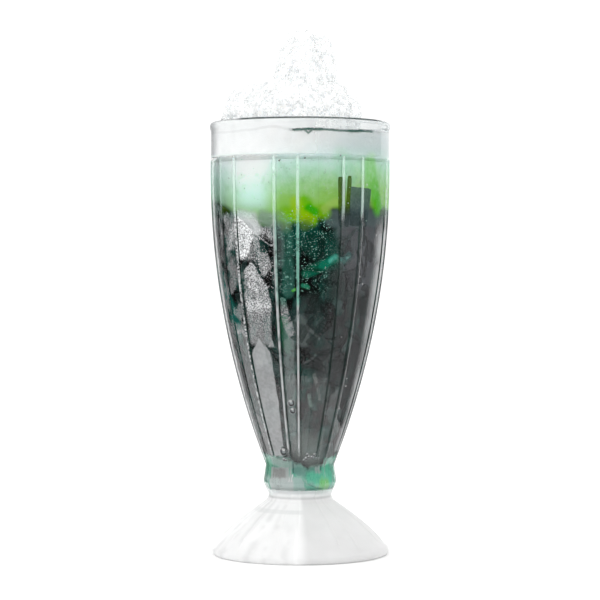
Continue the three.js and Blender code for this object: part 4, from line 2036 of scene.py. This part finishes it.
@dataclass
class IceMound(Piece):
    """Packed ice from the syrup up to the top of the tower."""

    name: str = "ice_mound"
    node: Optional[Node] = Node.ICE
    slot: Slot = Slot.ICE
    bottom: float = 172.0
    level: float = 184.0
    columns: int = 200
    shoulder_shift: float = -3.7
    shoulder_radius: float = 30.0
    shoulder_height: float = 204.8
    tower_shift: float = 2.4
    tower_radius: float = 12.7
    tower_foot: float = 211.5
    tower_top: float = 228.4
    relief: float = 1.3
    lump_size: float = 7.0
    lump_height: float = 1.5
    grain_size: float = 1.5
    grain_height: float = 0.45
    wall_gap: float = 0.4

    def keys(self) -> Profile:
        """(radius, height, shift) of the mound's outline above the wall.

        Returns:
            The corners, from the wall to the top.
        """
        wall = SHAPE.cavity_radius(self.level)
        shift, radius = self.shoulder_shift, self.shoulder_radius
        top = self.shoulder_height
        keys = [
            (wall - 0.9, self.level, 0.0),
            (wall - 2.5, self.level - 0.1, 0.0),
            (radius + 2.2, self.level - 0.2, shift * 0.5),
            (radius + 0.8, self.level + 0.6, shift),
            (radius, 189.0, shift),
            (radius - 0.7, 194.0, shift),
            (radius - 3.0, 199.3, shift),
            (radius - 5.0, top - 1.8, shift),
            (radius - 8.5, top, shift + 1.5),
            (radius - 13.3, top + 1.8, 0.4),
            (radius - 16.1, top + 4.7, 1.4),
        ]
        for step in range(11):
            turn = step / 10 * math.pi / 2
            radius = self.tower_radius * max(math.cos(turn), 0.02) ** 0.6
            height = lerp(self.tower_foot, self.tower_top, math.sin(turn) ** 0.95)
            keys.append((radius, height, self.tower_shift))
        return keys

    def outline(self, spacing: float = 0.7) -> Profile:
        """Outline with points close together.

        Args:
            spacing: Distance between points.

        Returns:
            Points of (radius, height, shift).
        """
        keys = self.keys()
        found = []
        for start, end in zip(keys, keys[1:]):
            length = math.dist(start[:2], end[:2])
            steps = max(1, round(length / spacing))
            for step in range(steps):
                found.append(tuple(lerp(a, b, step / steps) for a, b in zip(start, end)))
        return found

    def surface(self, radius: float, height: float, shift: float, bearing: float) -> Vector:
        """Point of the mound's uneven skin in millimetres.

        Args:
            radius: Radius of the outline.
            height: Height of the outline.
            shift: How far its centre lies along X.
            bearing: Place round the mound.

        Returns:
            The point.
        """
        turn = math.radians(bearing)
        plain = Vector((radius * math.sin(turn) + shift, -radius * math.cos(turn), height))
        strength = self.relief * smoothstep(height, self.level - 0.5, self.level + 2.5)
        lumps = noise.fractal(plain / self.lump_size, 0.9, 2.0, 3) * self.lump_height
        grains = noise.noise(plain / self.grain_size) * self.grain_height
        away = Vector((math.sin(turn), -math.cos(turn), 0.5)).normalized()
        return plain + away * strength * (lumps + grains)

    def build(self) -> bpy.types.Object:
        """Turn the outline, uneven above the wall and wavy where it meets it.

        Returns:
            The object.
        """
        rings = []
        bearings = [360.0 * column / self.columns for column in range(self.columns)]
        for height in (self.bottom, 175.0, 178.0, 180.5, 182.4):
            radius = SHAPE.cavity_radius(height) + 0.15
            rings.append([polar(radius, bearing, height) for bearing in bearings])
        wall = SHAPE.cavity_radius(self.level)
        clear = wall - self.wall_gap
        for inset, share in ((-0.15, 1.0), (-0.12, 1.06)):
            ring = []
            for bearing in bearings:
                height = self.bottom + share * (shore_height(bearing) - self.bottom)
                ring.append(polar(wall - inset, bearing, height))
            rings.append(ring)
        for radius, height, shift in self.outline():
            ring = []
            for bearing in bearings:
                point = self.surface(radius, height, shift, bearing)
                reach = math.hypot(point.x, point.y)
                near = smoothstep(reach, wall - 4.0, wall - 0.5)
                point.z = lerp(point.z, shore_height(bearing), near)
                if reach > clear and height < SHAPE.height:
                    point.x *= clear / reach
                    point.y *= clear / reach
                ring.append(tuple(point * MM))
            rings.append(ring)
        shell = Shell()
        top = self.surface(0.1, self.tower_top, self.tower_shift, 0.0) * MM
        shell.add_turned(rings, (0, 0, self.bottom * MM), tuple(top))
        return shell.build(self.name, ShavedIce())


def crystal_grid() -> tuple[list[Point], list[tuple[int, int, int]]]:
    """Corners and outward faces of a body with twenty faces.

    Returns:
        The corners and the faces.
    """
    golden = (1 + math.sqrt(5)) / 2
    corners: list[Point] = []
    for first in (-1, 1):
        for second in (-golden, golden):
            corners += [(0, first, second), (first, second, 0), (second, 0, first)]
    faces = []
    for trio in combinations(range(len(corners)), 3):
        a, b, c = (Vector(corners[index]) for index in trio)
        if max((a - b).length, (b - c).length, (c - a).length) < 2.01:
            outward = (b - a).cross(c - a).dot(a) > 0
            faces.append(trio if outward else (trio[0], trio[2], trio[1]))
    return corners, faces


CRYSTAL_CORNERS, CRYSTAL_FACES = crystal_grid()


@dataclass
class IceGrains(Piece):
    """Loose grains and flakes over the mound."""

    mound: IceMound
    name: str = "ice_grains"
    node: Optional[Node] = Node.ICE
    slot: Slot = Slot.ICE
    seed: int = 5
    count: int = 5200
    size: Pair = (0.5, 1.7)
    clearness: float = 0.25
    peaks: tuple[tuple[float, float, float, float], ...] = ()

    def build(self) -> bpy.types.Object:
        """Scatter grains over the skin, more of them small than large.

        Returns:
            The object.
        """
        draw = random.Random(self.seed)
        outline = [key for key in self.mound.outline() if key[1] > self.mound.level + 0.3]
        weights = [key[0] + 1.0 for key in outline]
        shell = Shell()
        for key in draw.choices(outline, weights, k=self.count):
            point = self.mound.surface(*key, draw.uniform(0.0, 360.0))
            size = lerp(*self.size, draw.random() ** 2.2)
            sink = Vector((key[2], 0.0, key[1] - 6.0)) - point
            point += sink.normalized() * size * draw.uniform(-0.35, 0.5)
            self._crystal(shell, draw, point, size)
        for x, y, z, size in self.peaks:
            self._crystal(shell, draw, Vector((x, y, z)), size)
        return shell.build(self.name, IceGrain(clearness=self.clearness, name=self.name), smooth=False)

    @staticmethod
    def _crystal(shell: Shell, draw: random.Random, at: Vector, size: float) -> None:
        """Add one broken crystal.

        Args:
            shell: Mesh that it joins.
            draw: Source of random numbers.
            at: Its centre.
            size: Its width.
        """
        order = Vector((draw.uniform(0.4, 0.8), draw.uniform(0.7, 1.1), draw.uniform(0.9, 1.5)))
        turn = Matrix.Rotation(draw.uniform(0, math.tau), 3, "X") @ Matrix.Rotation(
            draw.uniform(0, math.tau), 3, "Z"
        )
        points = []
        for corner in CRYSTAL_CORNERS:
            local = Vector([part * order[axis] for axis, part in enumerate(corner)]) / 1.9
            local *= size * draw.uniform(0.6, 1.1)
            points.append(tuple((at + turn @ local) * MM))
        shell.add(points, CRYSTAL_FACES, draw.random())


@dataclass
class Bubbles(Piece):
    """Air trapped against the wall."""

    name: str = "trapped_bubbles"
    node: Optional[Node] = None
    slot: Slot = Slot.SYRUP
    seed: int = 31
    finish: Finish = TrappedAir()
    fine: int = 0
    fine_size: Pair = (0.14, 0.3)
    stand: float = 0.64  # of the centre beyond the inner wall
    flatness: float = 0.85
    deepest: float = 1.4
    ring_steps: int = 8
    column_steps: int = 14
    # bearing, height and radius
    large: tuple[Point, ...] = (
        (-27.5, 46.3, 1.9), (-29.0, 42.8, 0.7), (-25.0, 42.6, 0.6), (-9.5, 68.0, 1.7),
        (-8.0, 64.6, 1.5), (11.0, 43.4, 0.9), (16.0, 44.0, 0.75), (7.0, 42.6, 0.65),
        (12.5, 45.2, 0.7), (21.0, 43.8, 0.8), (25.0, 45.0, 0.7), (30.0, 43.4, 0.6),
        (-9.0, 180.5, 0.5), (-13.5, 171.5, 0.45), (3.0, 172.5, 0.4), (27.0, 174.0, 0.45),
    )

    def build(self) -> bpy.types.Object:
        """Place the large bubbles and scatter small ones through the syrup.

        Returns:
            The object.
        """
        draw = random.Random(self.seed)
        shell = Shell()
        for bearing, height, radius in self.large:
            self._ball(shell, bearing, height, radius)
        for turn in range(self.fine):
            bearing = draw.gauss(2.0, 28.0) if turn % 2 else draw.uniform(60.0, 300.0)
            height = 173.0 - 27.0 * draw.random() ** 1.4
            self._ball(shell, bearing, height, draw.uniform(*self.fine_size))
        return shell.build(self.name, self.finish)

    def _ball(self, shell: Shell, bearing: float, height: float, radius: float) -> None:
        """Add one bubble that is pressed flat against the wall and stands a little into it.

        Args:
            shell: Mesh that it joins.
            bearing: Place round the wall.
            height: Height of its centre.
            radius: Its radius along the wall.
        """
        wall = SHAPE.cavity_radius(height)
        depth = min(radius, self.deepest) * self.flatness
        centre = Vector(polar(wall + self.stand, bearing, height))
        out = Vector(polar(1.0, bearing, 0.0)).normalized()
        rings = []
        for row in range(1, self.ring_steps):
            turn = math.pi * row / self.ring_steps
            ring = []
            for column in range(self.column_steps):
                side = math.tau * column / self.column_steps
                flat = math.sin(turn)
                away = Vector((math.cos(side) * flat, math.sin(side) * flat, -math.cos(turn)))
                away = away - out * away.dot(out) * (1.0 - depth / radius)
                ring.append(tuple(centre + away * radius * MM))
            rings.append(ring)
        ends = [tuple(centre + Vector((0, 0, side * radius * MM))) for side in (-1, 1)]
        shell.add_turned(rings, ends[0], ends[1])


@dataclass
class Condensation(Piece):
    """Small drops on the outside of the glass."""

    name: str = "condensation_drops"
    node: Optional[Node] = None
    slot: Slot = Slot.GLASS
    seed: int = 47
    count: int = 420
    heights: Pair = (52.0, 171.0)
    sizes: Pair = (0.16, 0.5)
    tallness: Pair = (1.0, 1.5)
    clear_of_ridge: float = 1.2
    dome: float = 0.5
    top: float = 0.45
    sunk: float = 0.05
    ring_steps: int = 4
    column_steps: int = 10

    def build(self) -> bpy.types.Object:
        """Scatter flat drops over the bowl, keeping off the ridges.

        Returns:
            The object.
        """
        draw = random.Random(self.seed)
        shell = Shell()
        for _ in range(self.count):
            height = lerp(*self.heights, draw.random() ** 0.8)
            bearing = draw.uniform(0.0, 360.0)
            radius = SHAPE.bowl_radius(height)
            if math.radians(SHAPE.ridge_offset(bearing)) * radius < self.clear_of_ridge:
                continue
            size = lerp(*self.sizes, draw.random() ** 3)
            surface = radius + SHAPE.relief(bearing, radius, radius / SHAPE.rim_radius)
            self._drop(shell, surface, bearing, height, size, draw.uniform(*self.tallness))
        return shell.build(self.name, WaterDrop())

    def _drop(
        self, shell: Shell, surface: float, bearing: float, height: float, size: float, tall: float
    ) -> None:
        """Add one drop as a flat dome.

        Args:
            shell: Mesh that it joins.
            surface: Radius of the glass there.
            bearing: Place round the glass.
            height: Height of its centre.
            size: Its radius.
            tall: Its height over its width.
        """
        rings = []
        for row in range(1, self.ring_steps + 1):
            turn = math.pi * 0.5 * row / self.ring_steps
            spread = size * math.sin(turn)
            lift = size * self.dome * math.cos(turn) - self.sunk
            ring = []
            for column in range(self.column_steps):
                side = math.tau * column / self.column_steps
                across = math.degrees(spread * math.cos(side) / surface)
                up = spread * tall * math.sin(side)
                ring.append(polar(surface + lift, bearing + across, height + up))
            rings.append(ring)
        outer = polar(surface + size * self.top, bearing, height)
        shell.add_turned(rings, outer, polar(surface - self.sunk, bearing, height))


# ---- Studio ----


@dataclass(frozen=True)
class Studio:
    """Pale floor, even white light and the camera of the picture."""

    distance: float = 0.890
    eye_height: float = 0.1238
    aim_height: float = 0.1119
    lens: float = 120.9
    floor_radius: float = 8.0
    floor_columns: int = 96
    card_bearings: Pair = (-156.0, 126.0)
    card_columns: int = 24

    def build(self) -> None:
        """Set up floor, dark card, light and camera."""
        self._floor()
        self._card()
        self._light()
        self._camera()

    def _floor(self) -> None:
        """Round pale floor."""
        rings = []
        turns = [math.tau * step / self.floor_columns for step in range(self.floor_columns)]
        for share in (0.02, 0.08, 0.25, 0.6, 1.0):
            radius = self.floor_radius * share
            rings.append([(radius * math.cos(turn), radius * math.sin(turn), 0.0) for turn in turns])
        shell = Shell()
        shell.add_turned(rings, (0, 0, 0), (0, 0, -0.01))
        shell.build("floor", PaleFloor(), smooth=False)

    def _card(self) -> None:
        """Dark card in front, seen only in reflections, as a studio would set one."""
        shell = Shell()
        rings = []
        for radius, height in ((0.16, 0.001), (1.3, 0.001), (1.3, 0.8), (1.2, 1.3)):
            ring = []
            for step in range(self.card_columns + 1):
                turn = math.radians(lerp(*self.card_bearings, step / self.card_columns))
                ring.append((radius * math.sin(turn), -radius * math.cos(turn), height))
            rings.append(ring)
        points = [point for ring in rings for point in ring]
        faces = []
        wide = self.card_columns + 1
        for row in range(len(rings) - 1):
            for column in range(self.card_columns):
                start = row * wide + column
                faces.append((start, start + 1, start + wide + 1, start + wide))
        shell.add(points, faces)
        card = shell.build("dark_card", DarkCard())
        for kind in ("camera", "diffuse", "transmission", "volume_scatter", "shadow"):
            setattr(card, f"visible_{kind}", False)

    def _light(self) -> None:
        """White surroundings, a little brighter above."""
        scene = bpy.context.scene
        world = bpy.data.worlds.new("studio_light")
        world.use_nodes = True
        scene.world = world
        canvas = Canvas(world.node_tree)
        toward = canvas.node("ShaderNodeTexCoord", output="Generated")
        up = canvas.part(toward, 2)
        strength = up.rise(0.1, 1.0) * 0.38 + 1.12
        surface = canvas.node("ShaderNodeBackground", None, {"Color": (1, 1, 1), "Strength": strength})
        canvas.finish(surface, "ShaderNodeOutputWorld")

    def _camera(self) -> None:
        """Camera in front, just above the middle of the glass."""
        scene = bpy.context.scene
        data = bpy.data.cameras.new("camera")
        data.lens = self.lens
        data.sensor_width = 36.0
        data.clip_start = 0.01
        data.clip_end = 50.0
        camera = bpy.data.objects.new("camera", data)
        camera.location = (0.0, -self.distance, self.eye_height)
        aim = Vector((0.0, 0.0, self.aim_height)) - camera.location
        camera.rotation_euler = aim.to_track_quat("-Z", "Y").to_euler()
        scene.collection.objects.link(camera)
        scene.camera = camera
        scene.view_settings.view_transform = "Standard"
        scene.cycles.caustics_reflective = True
        scene.cycles.diffuse_bounces = 8
        scene.cycles.max_bounces = 16
        scene.cycles.transmission_bounces = 14
        scene.cycles.glossy_bounces = 6


@dataclass(frozen=True)
class DarkCard(Finish):
    """Dark felt of the card."""

    name: str = "dark_card"

    def paint(self, canvas: Canvas) -> Field:
        """Nearly black, faintly uneven."""
        speck = canvas.grain(40.0, 2.0)
        return canvas.shader(Base_Color=canvas.blend(srgb(8, 9, 9), srgb(18, 19, 19), speck), Roughness=1.0)


def main() -> None:
    """Build every piece in order, then the studio."""
    logging.basicConfig(level=logging.INFO, format="%(name)s: %(message)s")
    mound = IceMound()
    pieces: list[Piece] = [
        GlassBody(),
        Plug("jelly_liquor", Slot.SYRUP, None, None, 147.0, reach=0.18),
        JellyPieces(),
        JellyShreds(),
        Plug("syrup_body", Slot.SYRUP, Node.SYRUP, 144.0, 172.6, reach=0.12),
        mound,
        IceGrains(mound),
        IceGrains(
            mound,
            name="ice_flakes",
            seed=9,
            count=170,
            size=(0.9, 2.0),
            clearness=0.4,
            peaks=((-5.6, 2.0, 229.6, 2.0), (-1.2, 1.0, 231.0, 1.8), (3.0, 0.5, 229.9, 1.6)),
        ),
        Bubbles(),
        Bubbles("fine_bubbles", finish=PALE_AIR, seed=33, fine=110, large=()),
        Condensation(),
    ]
    for piece in pieces:
        piece.install()
    Studio().build()


if __name__ == "__main__":
    main()
